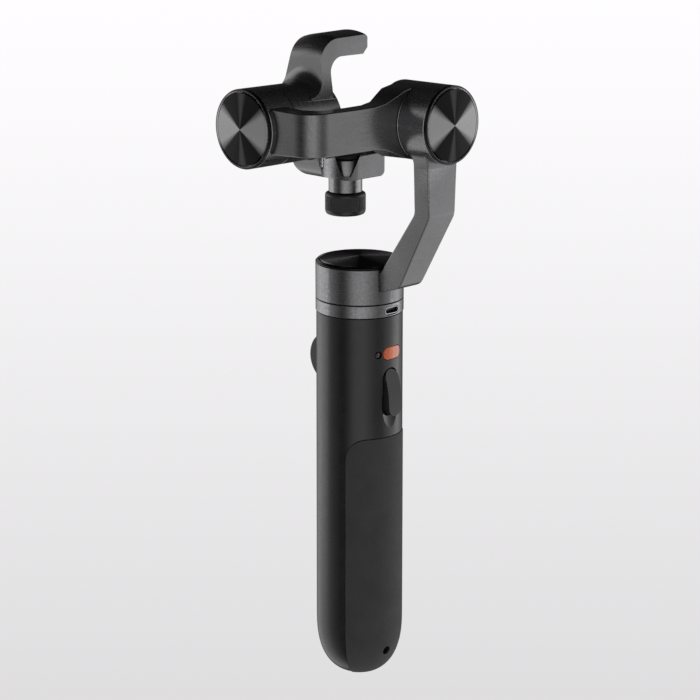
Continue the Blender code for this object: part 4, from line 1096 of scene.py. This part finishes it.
def make_clamp_screw():
    pad_low, pad_high, pad_r, edge = 225.2 * MM, 226.8 * MM, 6.0 * MM, 0.4 * MM
    pad = [(0.0, pad_high), (pad_r - edge, pad_high), (pad_r, pad_high - edge)]
    pad += [(pad_r, pad_low), (0.0, pad_low)]
    show(turned("clamp_pad_skin", pad, at=(SCREW_X, 0, 0), steps=ROUND), "pad", "clamp_pad", "clamp_pad")
    edge = 0.6 * MM
    barrel = [
        (0.0, pad_low - GAP),
        (BARREL_R - edge, pad_low - GAP),
        (BARREL_R - 0.18 * MM, pad_low - GAP - 0.18 * MM),
        (BARREL_R, pad_low - GAP - edge),
        (BARREL_R, KNOB[1] + GAP + 0.2 * MM),
        (BARREL_R - 0.2 * MM, KNOB[1] + GAP),
        (4.0 * MM, KNOB[1] + GAP),
        (4.0 * MM, KNOB[0] + 3 * MM),
        (0.0, KNOB[0] + 3 * MM),
    ]
    barrel = turned("clamp_barrel_skin", barrel, at=(SCREW_X, 0, 0))
    show(barrel, "anodised", "clamp_screw", "clamp_barrel")
    show(knurled("clamp_knob_skin", 64, 0.22 * MM), "knob", "clamp_screw", "clamp_knob")


# ---------------------------------------------------------------- the rest of the frame
def paint_frame():
    """Every carried-over CAD node takes the material of its slot."""
    for entry in frame["record"]["subparts"]:
        mesh = frame["nodes"][entry["node"]].data
        mesh.materials.clear()
        mesh.materials.append(LOOKS[entry["material_slot"]])


# ---------------------------------------------------------------- studio
CAMERA_AZIMUTH = radians(-45.3)
CAMERA_ELEVATION = radians(15.32)
AIM = Vector((0.0, 0.0, 214.316 * MM))
CAMERA_BACK = 775.77 * MM   # from AIM, along and across the camera's own axes
CAMERA_LEFT = 3.98 * MM
CAMERA_DOWN = 68.94 * MM
LENS = 97.71


def bearing(turn, rise):
    """Unit vector from the object; turn is from the camera's bearing, in degrees, positive to its right."""
    angle = CAMERA_AZIMUTH + radians(turn)
    rise = radians(rise)
    return Vector((sin(angle) * cos(rise), -cos(angle) * cos(rise), sin(rise)))


def make_camera():
    azimuth, elevation = CAMERA_AZIMUTH, CAMERA_ELEVATION
    right = Vector((cos(azimuth), sin(azimuth), 0.0))
    back = Vector((sin(azimuth) * cos(elevation), -cos(azimuth) * cos(elevation), sin(elevation)))
    up = back.cross(right)
    data = bpy.data.cameras.new("camera")
    data.lens = LENS
    data.sensor_width = 36.0
    data.clip_start, data.clip_end = 0.01, 50.0
    camera = add_object("camera", data)
    place = AIM + back * CAMERA_BACK - right * CAMERA_LEFT - up * CAMERA_DOWN
    turn = Matrix((right, up, back)).transposed().to_4x4()
    camera.matrix_world = Matrix.Translation(place) @ turn
    bpy.context.scene.camera = camera


def softbox(name, turn, rise, distance, width, height, power):
    """Soft light that looks at the middle of the object."""
    data = bpy.data.lights.new(name, "AREA")
    data.shape = "RECTANGLE"
    data.size, data.size_y = width, height
    data.energy = power
    lamp = add_object(name, data)
    away = bearing(turn, rise)
    lamp.location = LIGHT_AIM + away * distance
    lamp.rotation_mode = "QUATERNION"
    lamp.rotation_quaternion = away.to_track_quat("Z", "Y")
    lamp.visible_camera = False


LIGHT_AIM = Vector((0.0, 0.0, 160.0 * MM))
SURROUND = (                # degrees from the camera's bearing (positive to its right), brightness
    (-180, 0.03),
    (-158, 0.25),
    (-145, 0.95),
    (-100, 0.97),
    (-86, 0.52),
    (-66, 0.26),
    (-50, 0.05),
    (-38, 0.08),
    (-28, 0.36),
    (-14, 0.85),
    (10, 0.95),
    (28, 0.60),
    (48, 0.24),
    (60, 0.28),
    (76, 0.70),
    (92, 1.00),
    (122, 1.00),
    (140, 0.55),
    (158, 0.08),
    (180, 0.03),
)
OVERHEAD = (0.30, 0.62)     # sine of the heights between which the surround turns dark
LEAST = 0.02
BACKDROP = 0.965            # brightness that the camera sees past the floor
FLOOR_R = 12.0
FLOOR_DROP = 0.4 * MM
FLOOR_SHADE = 0.25          # how much darker the painted shade makes the floor under the object
FLOOR_FADE = -1.25          # how fast that goes away behind it, per metre
FOLD = 0.3                  # metres in front of the object where the floor is darkest
FOLD_WIDTH = 0.4


def surround_level(world):
    """Brightness of the studio round the object: upright panels, dark between them and overhead."""
    right = world.along(tuple(bearing(90, 0)))
    near = world.along(tuple(bearing(0, 0)))
    turn = world.math("MULTIPLY_ADD", world.math("ARCTAN2", right, near), 0.5 / pi, 0.5)
    ramp = world.add("ShaderNodeValToRGB", {"Fac": turn})
    ramp.color_ramp.interpolation = "EASE"
    stops = ramp.color_ramp.elements
    while len(stops) < len(SURROUND):
        stops.new(0.5)
    for stop, (degree, level) in zip(stops, SURROUND):
        stop.position = (degree + 180) / 360
        stop.color = (level, level, level, 1.0)
    height = world.along((0.0, 0.0, 1.0))
    fade = world.remap(height, *OVERHEAD, 1.0, LEAST, interpolation_type="SMOOTHSTEP")
    return world.math("MULTIPLY", ramp.outputs["Color"], fade)


def make_surround():
    """Panels that only reflections and shading see; the camera sees one even backdrop."""
    data = bpy.data.worlds.new("studio")
    data.use_nodes = True
    bpy.context.scene.world = data
    shade = data.node_tree.nodes["Background"]
    shade.inputs["Color"].default_value = (1.0, 1.0, 1.0, 1.0)
    world = Graph(data.node_tree, "Generated")
    seen = world.add("ShaderNodeLightPath").outputs["Is Camera Ray"]
    inputs = {"Factor": seen, "A": surround_level(world), "B": BACKDROP}
    level = world.add("ShaderNodeMix", inputs, data_type="FLOAT")
    world.put(shade.inputs["Strength"], level.outputs["Result"])


def make_floor():
    shape = bmesh.new()
    bmesh.ops.create_circle(shape, cap_ends=True, segments=128, radius=FLOOR_R)
    mesh = bpy.data.meshes.new("floor")
    shape.to_mesh(mesh)
    shape.free()
    floor = add_object("floor", mesh)
    floor.location = (0.0, 0.0, -FLOOR_DROP)
    n = Nodes("floor_paper")
    # painted shade on the glowing paper: a little darker by the camera and paler away from it, on both sides
    # of a soft fold
    past = n.math("ADD", n.along((-sin(CAMERA_AZIMUTH), cos(CAMERA_AZIMUTH), 0.0)), FOLD)
    both = n.math("SMOOTH_MAX", past, n.math("MULTIPLY", past, -1.0), FOLD_WIDTH)
    shade = n.math("EXPONENT", n.math("MULTIPLY", n.math("SUBTRACT", both, FOLD), FLOOR_FADE))
    shade = n.math("SUBTRACT", 1.0, n.math("MULTIPLY", shade, FLOOR_SHADE))
    grain = n.math("MULTIPLY", shade, n.remap(n.noise(260.0, 4.0), 0.3, 0.7, 0.997, 1.003))
    n.set(Roughness=0.9, Base_Color=(0.01, 0.01, 0.01), Specular_IOR_Level=0.0)
    n.set(Emission_Color=(1.0, 0.985, 1.0), Emission_Strength=grain)
    mesh.materials.append(n.material)
    floor.visible_glossy = False
    floor.visible_diffuse = False


def make_studio():
    softbox("left_box", -112, 4, 1.2, 0.9, 1.3, 2.0)
    softbox("right_box", 112, 0, 1.2, 0.6, 1.0, 1.5)
    make_surround()
    make_floor()
    bpy.context.scene.view_settings.view_transform = "Standard"
    bpy.context.scene.view_settings.look = "None"


make_camera()
make_studio()
paint_frame()
make_handle()
make_controls()
make_collar()
make_pan_arm()
make_roll_bar()
make_camera_holder()
make_clamp_screw()
